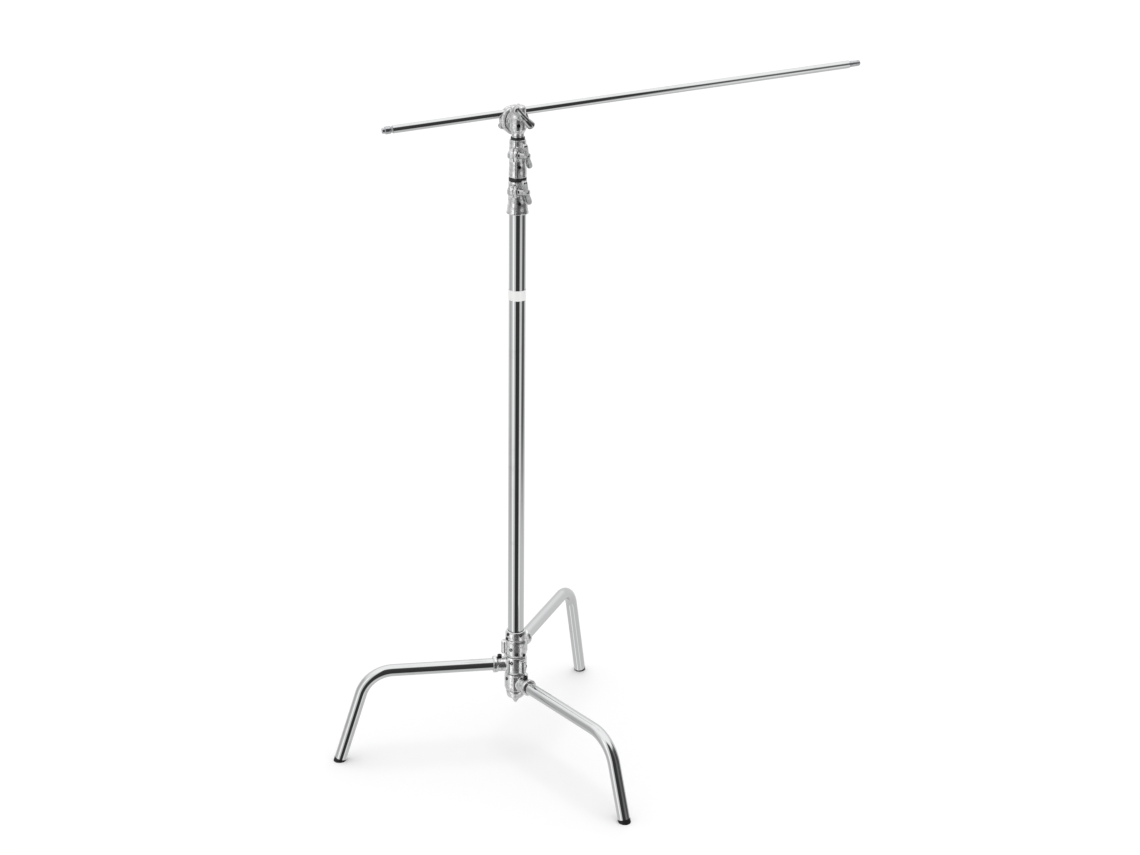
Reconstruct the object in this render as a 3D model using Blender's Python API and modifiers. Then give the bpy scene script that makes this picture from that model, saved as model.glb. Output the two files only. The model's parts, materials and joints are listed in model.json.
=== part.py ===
"""Century stand with a grip head and a grip arm: three nesting legs, two telescoping risers.

The column's axis is local Z of the empty named "stand", with the floor at height 0. The arm lies in the
local XZ plane's direction. Everything is in metres. The last step moves the empty so that the whole
object's bounding box is centred over the world's origin.
"""

from math import cos, pi, radians, sin, tan

import bmesh
import bpy
from mathutils import Matrix, Vector

MM = 0.001
GAP = 0.3 * MM  # running gap between neighbouring pieces

# Tubes
COLUMN_R, RISER_1_R, RISER_2_R, LEG_R, ARM_R = 17.5 * MM, 15 * MM, 12.5 * MM, 12.5 * MM, 8 * MM
WALL = 1.5 * MM
ROUND = 24  # sides of a large round piece
FINE = 16  # sides of a small round piece

# Legs: each is a tube that runs out level, bends down and leans outwards to its foot
LEG_HEIGHTS = {"low": 0.175, "mid": 0.217, "top": 0.259}
LEG_AZIMUTHS = {"low": 294.0, "mid": 174.0, "top": 54.0}
LEG_CORNER = 0.327  # where the level and the leaning line of a leg would meet
LEG_LEAN = radians(17.3)
LEG_BEND_R = 75 * MM
LEG_START = 21 * MM
FOOT_R, FOOT_PLUG_R, FOOT_PLUG, FOOT_SOLE = 13.6 * MM, 11 * MM, 14 * MM, 7 * MM

# Hub
HUB_R, HUB_BORE_R, SPINDLE_R = 24.5 * MM, 13.6 * MM, 13 * MM
HUB_PITCH = LEG_HEIGHTS["mid"] - LEG_HEIGHTS["low"]
SOCKET_R, SOCKET_FLANGE_R, SOCKET_END = 16.5 * MM, 18.5 * MM, 51 * MM
NOSE_TIP = 0.118
HUB_TOP = LEG_HEIGHTS["top"] + HUB_PITCH / 2

# Column and risers
COLUMN_FOOT = HUB_TOP + 4 * MM
COLUMN_TOP = 1.283
RISER_1_FOOT, RISER_1_TOP = 0.385, 1.348
RISER_2_FOOT, RISER_2_TOP = 0.420, 1.402
LOWER_COLLAR = (1.2436, 1.311)
UPPER_COLLAR = (1.3185, 1.3955)

# Collar clamps: the ears stand out along EAR_AZIMUTH and the stud crosses them along STUD_AZIMUTH
STUD_AZIMUTH = radians(-29)
EAR_AZIMUTH = STUD_AZIMUTH - pi / 2
EAR_HALF_WIDTH = 7 * MM
STUD_R, STUD_BORE_R, SCREW_R = 4 * MM, 4.3 * MM, 3.4 * MM
LOWER_STUD, UPPER_STUD = 1.2945, 1.3685
LOWER_EAR_REACH, UPPER_EAR_REACH = 27 * MM, 25.5 * MM
LOWER_BUSH_R, UPPER_BUSH_R = 16.8 * MM, 14.6 * MM
CLAMP_BAR = (26.5 * MM, 71 * MM, radians(38), 6.2 * MM)  # reach, length, turn and radius

# Grip head: the plates stand behind the receiver, on a bolt along +Y
HEAD_FOOT, HEAD_TOP = 1.4048, 1.4635
PIN_R, PIN_BORE_R, PIN_TOP = 7.95 * MM, 8.3 * MM, 1.4575
BOLT_Z, BOLT_R, PLATE_R = 1.4272, 5 * MM, 28.3 * MM
ARM_Y, ARM_ABOVE_BOLT = 39.5 * MM, 14.5 * MM
PLATE_GAP, PLATE_THICK = 1 * MM, 11 * MM
BODY_DISC, BODY_BOSS_R = (18.5 * MM, 27 * MM), 14.5 * MM
LOCK_AZIMUTH, LOCK_Z = radians(-84), 1.4455
SCREW_AZIMUTH, HEAD_SCREW_Z = radians(-98), 1.4252
LOCK_BAR = (32 * MM, 58 * MM, radians(44), 8.5 * MM)
LOCK_FOOT, LOCK_DEPTH = 20.3 * MM, 3 * MM
MAIN_BAR_TURN = radians(-40)

# Arm
ARM_LENGTH, ARM_LEFT, ARM_TILT = 1.016, 0.268, radians(5.75)
ARM_PIN_LENGTH, ARM_TIP_LENGTH = 22 * MM, 24 * MM

MATERIALS = {
    "chrome": ((0.78, 0.79, 0.80), 1.0, 0.10),
    "cast_chrome": ((0.66, 0.67, 0.68), 1.0, 0.22),
    "zinc_steel": ((0.45, 0.46, 0.48), 1.0, 0.35),
    "black_steel": ((0.03, 0.03, 0.03), 0.6, 0.4),
    "black_plastic": ((0.02, 0.02, 0.02), 0.0, 0.45),
    "black_rubber": ((0.015, 0.015, 0.015), 0.0, 0.8),
    "white_label": ((0.9, 0.9, 0.9), 0.0, 0.4),
}


# ---------------------------------------------------------------- scene and materials


def clear_scene():
    for obj in list(bpy.data.objects):
        bpy.data.objects.remove(obj)


def make_materials():
    for name, (colour, metallic, roughness) in MATERIALS.items():
        material = bpy.data.materials.new(name)
        material.use_nodes = True
        shader = material.node_tree.nodes["Principled BSDF"]
        shader.inputs["Base Color"].default_value = (*colour, 1.0)
        shader.inputs["Metallic"].default_value = metallic
        shader.inputs["Roughness"].default_value = roughness


def make_collection(name):
    collection = bpy.data.collections.new(name)
    bpy.context.scene.collection.children.link(collection)
    return collection


clear_scene()
make_materials()
PARTS = make_collection("century_stand")
CUTTERS = make_collection("cutters")
STAND = bpy.data.objects.new("stand", None)
PARTS.objects.link(STAND)


# ---------------------------------------------------------------- placing


def axes(origin, z_axis, x_axis):
    """The matrix whose origin, Z and X are these. Y follows."""
    z_axis = Vector(z_axis).normalized()
    y_axis = z_axis.cross(Vector(x_axis)).normalized()
    x_axis = y_axis.cross(z_axis)
    turn = Matrix((x_axis, y_axis, z_axis)).transposed().to_4x4()
    return Matrix.Translation(origin) @ turn


def around_column(azimuth, radius, height):
    return Vector((radius * cos(azimuth), radius * sin(azimuth), height))


def link(obj, material=None, matrix=None):
    """Adds a part, or a cutter where there is no material, under the stand."""
    (PARTS if material else CUTTERS).objects.link(obj)
    obj.parent = STAND
    obj.matrix_basis = matrix or Matrix.Identity(4)
    if material:
        obj.data.materials.append(bpy.data.materials[material])
    else:
        obj.hide_render = True
        obj.display_type = "WIRE"
    return obj


# ---------------------------------------------------------------- shapes


def mesh_object(name, build):
    """A new object whose mesh is what build makes in an empty bmesh."""
    shape = bmesh.new()
    build(shape)
    mesh = bpy.data.meshes.new(name)
    shape.to_mesh(mesh)
    shape.free()
    return bpy.data.objects.new(name, mesh)


def cylinder(name, radius, low, high, material=None, matrix=None, sides=FINE):
    """A solid cylinder on local Z, from low to high."""

    def build(shape):
        place = Matrix.Translation((0, 0, (low + high) / 2))
        radii = {"radius1": radius, "radius2": radius}
        bmesh.ops.create_cone(shape, cap_ends=True, segments=sides, depth=high - low, matrix=place, **radii)

    obj = link(mesh_object(name, build), material, matrix)
    if sides > 6:
        obj.data.shade_smooth()
        obj.data.set_sharp_from_angle(angle=radians(35))
    return obj


def block(name, low, high, material=None, matrix=None, bevel=0.0):
    """A box between two corners, with its edges rounded where bevel is given."""
    low, high = Vector(low), Vector(high)

    def build(shape):
        place = Matrix.Translation((low + high) / 2) @ Matrix.Diagonal((*(high - low), 1))
        bmesh.ops.create_cube(shape, size=1, matrix=place)

    obj = link(mesh_object(name, build), material, matrix)
    if bevel:
        rounding = obj.modifiers.new("rounding", "BEVEL")
        rounding.width = bevel
        rounding.segments = 2
    return obj


def turned(name, profile, material=None, matrix=None, sides=ROUND, ring=False):
    """A profile of (radius, height) points, down its outer side, turned about Z. A ring's is closed."""
    mesh = bpy.data.meshes.new(name)
    points = [(radius, 0, height) for radius, height in profile]
    edges = [(i, i + 1) for i in range(len(points) - 1)]
    if ring:
        edges.append((len(points) - 1, 0))
    mesh.from_pydata(points, edges, [])
    obj = link(bpy.data.objects.new(name, mesh), material, matrix)
    screw = obj.modifiers.new("turning", "SCREW")
    screw.steps = screw.render_steps = sides
    screw.use_merge_vertices = True
    screw.merge_threshold = 0.00001
    screw.use_smooth_shade = False
    return obj


def sleeve(name, outer, inner, low, high, material=None, matrix=None, sides=ROUND):
    """A plain ring with square ends."""
    profile = [(outer, high), (outer, low), (inner, low), (inner, high)]
    return turned(name, profile, material, matrix, sides, ring=True)


def boolean(obj, other, operation):
    modifier = obj.modifiers.new(operation.lower() + "_" + other.name, "BOOLEAN")
    modifier.object = other
    modifier.operation = operation
    modifier.solver = "EXACT"


def cut(obj, *cutters):
    for cutter in cutters:
        boolean(obj, cutter, "DIFFERENCE")


def join(obj, *others):
    for other in others:
        boolean(obj, other, "UNION")


# ---------------------------------------------------------------- legs


def leg_path(height):
    """The leg's centreline in its own upright plane, as (distance from the column, height) points."""
    bend = pi / 2 - LEG_LEAN
    tangent = LEG_BEND_R * tan(bend / 2)
    centre = (LEG_CORNER - tangent, height - LEG_BEND_R)
    arc = 9
    points = [(LEG_START, height)]
    for i in range(arc + 1):
        angle = bend * i / arc
        points.append((centre[0] + LEG_BEND_R * sin(angle), centre[1] + LEG_BEND_R * cos(angle)))
    points.append((LEG_CORNER + (height - FOOT_SOLE) * tan(LEG_LEAN), FOOT_SOLE))
    return points


def leg_tube(which):
    """A bent tube with open ends: a curve with no caps, whose skin gets the wall's thickness."""
    curve = bpy.data.curves.new("leg_guide_" + which, "CURVE")
    curve.dimensions = "3D"
    curve.bevel_depth = LEG_R
    curve.bevel_resolution = 4
    curve.use_fill_caps = False
    spline = curve.splines.new("POLY")
    path = leg_path(LEG_HEIGHTS[which])
    spline.points.add(len(path) - 1)
    for point, (distance, height) in zip(spline.points, path):
        point.co = (distance, 0, height, 1)
    guide = bpy.data.objects.new("leg_guide_" + which, curve)
    CUTTERS.objects.link(guide)
    skin = bpy.data.meshes.new_from_object(guide.evaluated_get(bpy.context.evaluated_depsgraph_get()))
    bpy.data.objects.remove(guide)
    shape = bmesh.new()
    shape.from_mesh(skin)
    bmesh.ops.recalc_face_normals(shape, faces=shape.faces)
    shape.to_mesh(skin)
    shape.free()
    turn = Matrix.Rotation(radians(LEG_AZIMUTHS[which]), 4, "Z")
    tube = link(bpy.data.objects.new("leg_tube_" + which, skin), "chrome", turn)
    wall = tube.modifiers.new("wall", "SOLIDIFY")
    wall.thickness = WALL
    wall.offset = 0
    return tube


def foot_pad(which):
    """A rubber sole as wide as the tube, with a plug inside it, cut level with the floor."""
    turn = Matrix.Rotation(radians(LEG_AZIMUTHS[which]), 4, "Z")
    distance, height = leg_path(LEG_HEIGHTS[which])[-1]
    upwards = Vector((-sin(LEG_LEAN), 0, cos(LEG_LEAN)))
    frame = turn @ axes((distance, 0, height), upwards, (1, 0, 0))
    plug_r = FOOT_PLUG_R
    pad = turned(
        "foot_pad_" + which,
        [
            (0, FOOT_PLUG),
            (plug_r - 1 * MM, FOOT_PLUG),
            (plug_r, FOOT_PLUG - 2 * MM),
            (plug_r, -GAP),
            (FOOT_R, -GAP),
            (FOOT_R, -14 * MM),
            (0, -14 * MM),
        ],
        "black_rubber",
        frame,
        sides=20,
    )
    under_floor = turn @ Matrix.Translation((distance, 0, 0))
    cut(pad, block("floor_" + which, (-0.05, -0.05, -0.05), (0.05, 0.05, 0), matrix=under_floor))
    return pad


def leg_hub(which):
    """The casting that turns on the spindle and holds a leg in its socket, with a web under the socket."""
    height = LEG_HEIGHTS[which]
    half = HUB_PITCH / 2 - GAP
    frame = Matrix.Translation((0, 0, height)) @ Matrix.Rotation(radians(LEG_AZIMUTHS[which]), 4, "Z")
    along_leg = frame @ axes((0, 0, 0), (1, 0, 0), (0, 0, 1))
    waist = HUB_R - 2.5 * MM
    shoulder = half - 6 * MM
    profile = [(0, half), (waist, half), (HUB_R, shoulder), (HUB_R, -shoulder), (waist, -half), (0, -half)]
    hub = turned("leg_hub_" + which, profile, "cast_chrome", frame)
    socket = turned(
        "socket_" + which,
        [
            (0, SOCKET_END),
            (SOCKET_FLANGE_R, SOCKET_END),
            (SOCKET_FLANGE_R, SOCKET_END - 8 * MM),
            (SOCKET_R, SOCKET_END - 11 * MM),
            (SOCKET_R, 12 * MM),
            (0, 12 * MM),
        ],
        matrix=along_leg,
        sides=20,
    )
    lug_top, lug_foot, lug_r = half - 5 * MM, -half * 0.7, 8 * MM
    lug = turned(
        "lug_" + which,
        [
            (0, lug_top),
            (lug_r - 2 * MM, lug_top),
            (lug_r, lug_top - 3 * MM),
            (lug_r, lug_foot),
            (0, lug_foot),
        ],
        matrix=frame @ Matrix.Translation(around_column(radians(120), HUB_R, 0)),
        sides=12,
    )
    bore_r, bore_foot = LEG_R + WALL / 2 + GAP, LEG_START - 1 * MM
    bore_end = SOCKET_END + 5 * MM
    tube_bore = cylinder("tube_bore_" + which, bore_r, bore_foot, bore_end, matrix=along_leg, sides=20)
    spindle_bore = cylinder("spindle_bore_" + which, HUB_BORE_R, -0.05, 0.05, matrix=frame, sides=ROUND)
    bolt_hole = cylinder("bolt_hole_" + which, 3.2 * MM, 0, 0.03, matrix=bolt_frame(which, 0))
    join(hub, socket, lug)
    cut(hub, tube_bore, spindle_bore, bolt_hole)
    return hub


def bolt_frame(which, lift):
    """On top of the leg's socket, where its clamping bolt goes in."""
    turn = Matrix.Rotation(radians(LEG_AZIMUTHS[which]), 4, "Z")
    height = LEG_HEIGHTS[which] + LEG_R + WALL / 2 + GAP + 0.2 * MM + lift
    return turn @ axes((SOCKET_END - 15 * MM, 0, height), (0, 0, 1), (1, 0, 0))


def leg_bolt(which):
    """A black cap bolt: its shank stops just short of the tube."""
    head_at = SOCKET_R - (LEG_R + WALL / 2 + GAP) + 0.4 * MM
    head_r, shank_r, head_top = 5 * MM, 2.8 * MM, head_at + 5 * MM
    head = [(0, head_top), (head_r, head_top), (head_r, head_at)]
    profile = head + [(shank_r, head_at), (shank_r, 0), (0, 0)]
    return turned("leg_bolt_" + which, profile, "black_steel", bolt_frame(which, 0), sides=12)


def build_legs():
    for which in LEG_HEIGHTS:
        leg_hub(which)
        leg_tube(which)
        foot_pad(which)
        leg_bolt(which)


# ---------------------------------------------------------------- hub, column and risers


def build_hub():
    spindle_foot, spindle_top, plug_r = NOSE_TIP + 20 * MM, COLUMN_FOOT + 46 * MM, COLUMN_R - WALL - GAP
    profile = [
        (0, spindle_top),
        (plug_r, spindle_top),
        (plug_r, COLUMN_FOOT),
        (SPINDLE_R, COLUMN_FOOT),
        (SPINDLE_R, spindle_foot),
        (0, spindle_foot),
    ]
    turned("hub_spindle", profile, "zinc_steel")
    nose_top = LEG_HEIGHTS["low"] - HUB_PITCH / 2 - GAP
    bore, bore_floor = SPINDLE_R + GAP, spindle_foot - GAP
    turned(
        "hub_nose",
        [
            (bore, nose_top),
            (21 * MM, nose_top),
            (21 * MM, nose_top - 5 * MM),
            (18.5 * MM, NOSE_TIP + 19 * MM),
            (9 * MM, NOSE_TIP + 15 * MM),
            (7 * MM, NOSE_TIP + 9 * MM),
            (2 * MM, NOSE_TIP + 0.5 * MM),
            (0, NOSE_TIP),
            (0, bore_floor),
            (bore, bore_floor),
        ],
        "cast_chrome",
        ring=True,
    )
    collar_top = COLUMN_FOOT + 16 * MM
    collar_foot = HUB_TOP + GAP
    turned(
        "hub_collar",
        [
            (COLUMN_R + GAP, collar_top),
            (20 * MM, collar_top),
            (23 * MM, collar_top - 6 * MM),
            (23 * MM, collar_foot),
            (HUB_BORE_R, collar_foot),
            (HUB_BORE_R, COLUMN_FOOT - GAP),
            (COLUMN_R + GAP, COLUMN_FOOT - GAP),
        ],
        "cast_chrome",
        ring=True,
    )
    coil_spring("hub_spring", 11.5 * MM, 1.2 * MM, spindle_top + GAP, spindle_top + 34 * MM, 5)
    stop = spindle_top + 35 * MM
    sleeve("spring_stop", plug_r, 6 * MM, stop, stop + 8 * MM, "zinc_steel")


def coil_spring(name, radius, wire, low, high, turns, frame=None):
    """A helix of round wire on local Z, with filled ends."""
    curve = bpy.data.curves.new(name, "CURVE")
    curve.dimensions = "3D"
    curve.bevel_depth = wire
    curve.bevel_resolution = 1
    curve.use_fill_caps = True
    spline = curve.splines.new("POLY")
    count = turns * 12 + 1
    spline.points.add(count - 1)
    for i, point in enumerate(spline.points):
        share = i / (count - 1)
        angle = 2 * pi * turns * share
        height = low + wire + share * (high - low - 2 * wire)
        point.co = (radius * cos(angle), radius * sin(angle), height, 1)
    return link(bpy.data.objects.new(name, curve), "zinc_steel", frame)


def tube(name, radius, low, high):
    return sleeve(name, radius, radius - WALL, low, high, "chrome")


def glide(name, riser_r, foot, bearing_r):
    """A plastic plug in a riser's lower end, whose flange runs in the tube outside it."""
    inner, plug = 7 * MM, riser_r - WALL - GAP
    top, step, bottom = foot + 14 * MM, foot - GAP, foot - 9 * MM
    outside = [(plug, top), (plug, step), (bearing_r, step), (bearing_r, bottom)]
    profile = outside + [(inner, bottom), (inner, top)]
    return turned(name, profile, "black_plastic", ring=True)


def build_column():
    tube("base_column", COLUMN_R, COLUMN_FOOT, COLUMN_TOP)
    sleeve("column_label", COLUMN_R + 0.8 * MM, COLUMN_R + GAP, 1.0611, 1.0827, "white_label")
    tube("riser_1_tube", RISER_1_R, RISER_1_FOOT, RISER_1_TOP)
    glide("riser_1_glide", RISER_1_R, RISER_1_FOOT, COLUMN_R - WALL - 0.4 * MM)
    tube("riser_2_tube", RISER_2_R, RISER_2_FOOT, RISER_2_TOP)
    glide("riser_2_glide", RISER_2_R, RISER_2_FOOT, RISER_1_R - WALL - 0.4 * MM)
    turned(
        "top_pin",
        [
            (0, PIN_TOP),
            (PIN_R - 1.5 * MM, PIN_TOP),
            (PIN_R, PIN_TOP - 1.5 * MM),
            (PIN_R, PIN_TOP - 8 * MM),
            (6.4 * MM, PIN_TOP - 10 * MM),
            (6.4 * MM, PIN_TOP - 21 * MM),
            (PIN_R, PIN_TOP - 23 * MM),
            (PIN_R, RISER_2_TOP + 2.4 * MM),
            (RISER_2_R, RISER_2_TOP + 2.4 * MM),
            (RISER_2_R, RISER_2_TOP + GAP),
            (RISER_2_R - WALL - GAP, RISER_2_TOP + GAP),
            (RISER_2_R - WALL - GAP, RISER_2_TOP - 40 * MM),
            (0, RISER_2_TOP - 40 * MM),
        ],
        "zinc_steel",
    )


# ---------------------------------------------------------------- collars and their clamps


def collar(which, profile, tube_r, tube_top, bush_r, stud_z, ear_reach, ear_height):
    """A split casting on the top of a tube: its two ears are drawn together by a stud."""
    low, high = profile[-1][1], profile[0][1]
    body = turned(which + "_collar", [(0, high), *profile, (0, low)], "cast_chrome")
    ear_frame = Matrix.Translation((0, 0, stud_z)) @ Matrix.Rotation(EAR_AZIMUTH, 4, "Z")
    reach = ear_reach + 9 * MM
    half = EAR_HALF_WIDTH
    ear_low, ear_high = (8 * MM, -half, -ear_height), (reach, half, ear_height)
    ear = block(which + "_ear", ear_low, ear_high, matrix=ear_frame, bevel=4 * MM)
    tube_bore = cylinder(which + "_tube_bore", tube_r + GAP, low - 0.02, tube_top + GAP, sides=ROUND)
    bush_bore = cylinder(which + "_bush_bore", bush_r, tube_top - 5 * MM, high + 0.02, sides=ROUND)
    slit_low, slit_high = (10 * MM, -1.2 * MM, -0.1), (reach + 0.01, 1.2 * MM, 0.1)
    slit = block(which + "_slit", slit_low, slit_high, matrix=ear_frame)
    stud, screw = stud_frame(stud_z, ear_reach), screw_frame(low, tube_r)
    stud_bore = cylinder(which + "_stud_bore", STUD_BORE_R + GAP, -0.03, 0.03, matrix=stud)
    screw_hole = cylinder(which + "_screw_hole", SCREW_R + GAP, -1 * MM, 0.02, matrix=screw)
    join(body, ear)
    cut(body, tube_bore, bush_bore, slit, stud_bore, screw_hole)


def stud_frame(stud_z, ear_reach):
    """Local Z runs along the stud towards its handle; local X points up."""
    along = Vector((cos(STUD_AZIMUTH), sin(STUD_AZIMUTH), 0))
    return axes(around_column(EAR_AZIMUTH, ear_reach, stud_z), along, (0, 0, 1))


def screw_frame(low, tube_r):
    """Where a collar's set screw goes in, above its lower edge and beside the slit."""
    azimuth = STUD_AZIMUTH - radians(64)
    out = Vector((cos(azimuth), sin(azimuth), 0))
    return axes(out * (tube_r + GAP + 0.2 * MM) + Vector((0, 0, low + 23.5 * MM)), out, (0, 0, 1))


def set_screw(which, low, tube_r, length):
    profile = [(0, length), (SCREW_R, length), (SCREW_R, 0), (0, 0)]
    turned(which + "_collar_screw", profile, "black_steel", screw_frame(low, tube_r), sides=12)


def t_handle(name, frame, bar, hub_foot, bore_depth, hub_r=7.5 * MM):
    """A cast T: a hub on local Z with a blind bore for its stud, and a tapering bar across its end."""
    reach, length, turn, bar_r = bar
    end, grip = reach + 6 * MM, length / 2
    hub = turned(
        name,
        [
            (0, end),
            (hub_r - 2 * MM, end),
            (hub_r - 0.5 * MM, reach),
            (hub_r, hub_foot + 2 * MM),
            (hub_r, hub_foot),
            (STUD_BORE_R, hub_foot),
            (STUD_BORE_R, hub_foot + bore_depth),
            (0, hub_foot + bore_depth),
        ],
        "cast_chrome",
        frame,
        sides=FINE,
    )
    bar_frame = frame @ Matrix.Rotation(turn, 4, "Z") @ axes((0, 0, reach), (1, 0, 0), (0, 0, 1))
    side = [(0, 1.0), (0.5, 0.99), (0.85, 0.95), (1.0, 0.86), (1.0, 0.72), (0.82, 0.3)]
    upper = [(bar_r * r, grip * h) for r, h in side]
    lower = [(bar_r * r, -grip * h) for r, h in reversed(side)]
    bar = turned(name + "_bar", upper + lower, matrix=bar_frame, sides=12)
    join(hub, bar)
    return hub


def clamp(which, stud_z, ear_reach):
    """The stud, its nut and its T handle."""
    frame = stud_frame(stud_z, ear_reach)
    hub_foot, bore_depth = EAR_HALF_WIDTH + 0.8 * MM, 11 * MM
    t_handle(which + "_clamp_handle", frame, CLAMP_BAR, hub_foot, bore_depth)
    nut_foot, nut_end = -EAR_HALF_WIDTH - GAP, -EAR_HALF_WIDTH - 5.3 * MM
    stud_low, stud_high = nut_end - 0.6 * MM, hub_foot + bore_depth - GAP
    cylinder(which + "_clamp_stud", STUD_R, stud_low, stud_high, "zinc_steel", frame)
    nut = cylinder(which + "_clamp_nut", 7.5 * MM, nut_end, nut_foot, "zinc_steel", frame, sides=6)
    cut(nut, cylinder(which + "_nut_bore", STUD_BORE_R, nut_end - 0.01, nut_foot + 0.01, matrix=frame))


def bush(which, riser_r, bore_r, foot, collar_top, flange_r, flange_top):
    """The plastic bush that a riser runs in; its flange shows above the collar as a black ring."""
    inner, outer, step = riser_r + 0.35 * MM, bore_r - GAP, collar_top + GAP
    flange = [(inner, flange_top), (flange_r, flange_top), (flange_r, step)]
    profile = flange + [(outer, step), (outer, foot), (inner, foot)]
    turned(which + "_collar_bush", profile, "black_plastic", ring=True)


def build_collars():
    low, high = LOWER_COLLAR
    profile = [
        (17.6 * MM, high),
        (18.6 * MM, high - 3 * MM),
        (19.2 * MM, low + 22 * MM),
        (20.6 * MM, low + 17 * MM),
        (21.4 * MM, low + 6 * MM),
        (22.6 * MM, low + 4 * MM),
        (22.6 * MM, low),
    ]
    collar("lower", profile, COLUMN_R, COLUMN_TOP, LOWER_BUSH_R, LOWER_STUD, LOWER_EAR_REACH, 12 * MM)
    bush("lower", RISER_1_R, LOWER_BUSH_R, COLUMN_TOP + 2 * GAP, high, 18.2 * MM, high + 6.4 * MM)
    set_screw("lower", low, COLUMN_R, 1.2 * MM)
    clamp("lower", LOWER_STUD, LOWER_EAR_REACH)

    low, high = UPPER_COLLAR
    profile = [
        (16.2 * MM, high),
        (17.2 * MM, high - 3 * MM),
        (17.2 * MM, low + 24 * MM),
        (18 * MM, low + 18 * MM),
        (18.2 * MM, low),
    ]
    collar("upper", profile, RISER_1_R, RISER_1_TOP, UPPER_BUSH_R, UPPER_STUD, UPPER_EAR_REACH, 14 * MM)
    bush("upper", RISER_2_R, UPPER_BUSH_R, RISER_1_TOP + 2 * GAP, high, 13.8 * MM, high + 5 * MM)
    set_screw("upper", low, RISER_1_R, 1.2 * MM)
    clamp("upper", UPPER_STUD, UPPER_EAR_REACH)


# ---------------------------------------------------------------- grip head


def jaw_frame():
    """On the bolt, turned with the arm: local Z along the bolt, local X along the arm."""
    return axes((0, 0, BOLT_Z), (0, 1, 0), (cos(ARM_TILT), 0, sin(ARM_TILT)))


def arm_frame():
    """Local Z along the arm, with its origin beside the bolt."""
    jaw = jaw_frame()
    along, above = jaw.to_3x3().col[0], -jaw.to_3x3().col[1]
    above = above if above.z > 0 else -above
    return axes(Vector((0, ARM_Y, BOLT_Z)) + above * ARM_ABOVE_BOLT, along, (0, 1, 0))


def rod_cutters(name):
    """The arm's own groove, a smaller one below the bolt, and two upright ones for thin rods."""
    frame, jaw = arm_frame(), jaw_frame()
    below = axes(jaw.translation + Vector((0, ARM_Y, 0)), frame.to_3x3().col[2], (0, 1, 0))
    down = -1 if jaw.to_3x3().col[1].z > 0 else 1
    cutters = [cylinder(name + "_groove_arm", ARM_R + 0.35 * MM, -0.05, 0.05, matrix=frame, sides=ROUND)]
    slip = Matrix.Translation(jaw.to_3x3().col[1] * down * ARM_ABOVE_BOLT)
    cutters.append(cylinder(name + "_groove_small", 5.7 * MM, -0.05, 0.05, matrix=slip @ below, sides=12))
    for side in (-1, 1):
        place = jaw.translation + Vector((0, ARM_Y, 0)) + jaw.to_3x3().col[0] * side * 18 * MM
        upright = axes(place, jaw.to_3x3().col[1], (0, 1, 0))
        cutters.append(cylinder(f"{name}_groove_{side}", 3.4 * MM, -0.05, 0.05, matrix=upright, sides=12))
    return cutters


def build_head():
    head = turned(
        "head_body",
        [
            (0, HEAD_TOP),
            (13 * MM, HEAD_TOP),
            (16 * MM, HEAD_TOP - 4 * MM),
            (16.5 * MM, HEAD_FOOT + 16 * MM),
            (12.6 * MM, HEAD_FOOT + 10 * MM),
            (12.4 * MM, HEAD_FOOT),
            (0, HEAD_FOOT),
        ],
        "cast_chrome",
    )
    bolt = axes((0, 0, BOLT_Z), (0, 1, 0), (1, 0, 0))
    near, far = BODY_DISC
    disc = turned(
        "body_disc",
        [
            (0, far),
            (PLATE_R - 2 * MM, far),
            (PLATE_R, far - 2 * MM),
            (PLATE_R, near + 3 * MM),
            (PLATE_R - 6 * MM, near),
            (BODY_BOSS_R, near),
            (BODY_BOSS_R, 6 * MM),
            (0, 6 * MM),
        ],
        matrix=bolt,
    )
    lock = lock_frame()
    boss = cylinder("lock_boss", 8.5 * MM, 10 * MM, 19.5 * MM, matrix=lock)
    join(head, disc, boss)
    cut(
        head,
        cylinder("pin_bore", PIN_BORE_R, HEAD_FOOT - 0.01, PIN_TOP + 0.8 * MM, sides=ROUND),
        cylinder("bolt_pocket", 9 * MM, 4 * MM, 18 * MM, matrix=bolt),
        cylinder("bolt_bore", BOLT_R + 0.4 * MM, 10 * MM, far + 0.01, matrix=bolt),
        cylinder("lock_bore", STUD_BORE_R, 4 * MM, 30 * MM, matrix=lock),
        cylinder("set_screw_bore", SCREW_R + GAP, 4 * MM, 30 * MM, matrix=set_screw_frame()),
    )
    screw_foot, screw_end = PIN_BORE_R + 1 * MM, 14.5 * MM
    cylinder("head_set_screw", SCREW_R, screw_foot, screw_end, "black_steel", set_screw_frame(), 12)
    build_bolt(bolt)
    build_jaws()
    t_handle("head_lock_handle", lock, LOCK_BAR, LOCK_FOOT, LOCK_DEPTH, 7 * MM)
    stud_end = LOCK_FOOT + LOCK_DEPTH - GAP
    cylinder("head_lock_stud", STUD_R, PIN_BORE_R + 0.2 * MM, stud_end, "zinc_steel", lock)


def lock_frame():
    """Local Z runs out along the screw that locks the head on the pin; local X points up."""
    return axes((0, 0, LOCK_Z), (cos(LOCK_AZIMUTH), sin(LOCK_AZIMUTH), 0), (0, 0, 1))


def set_screw_frame():
    """Local Z runs out along the small screw below the lock; local X points up."""
    return axes((0, 0, HEAD_SCREW_Z), (cos(SCREW_AZIMUTH), sin(SCREW_AZIMUTH), 0), (0, 0, 1))


def jaw_faces():
    """Where the plates, the thrust washer and the handle start along the bolt, from the body outwards."""
    inner = BODY_DISC[1] + GAP
    outer = ARM_Y + PLATE_GAP
    washer = outer + PLATE_THICK + GAP
    race = washer + 2 * MM + GAP
    handle = race + 3 * MM + GAP
    return {"inner": inner, "outer": outer, "washer": washer, "race": race, "handle": handle}


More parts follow.
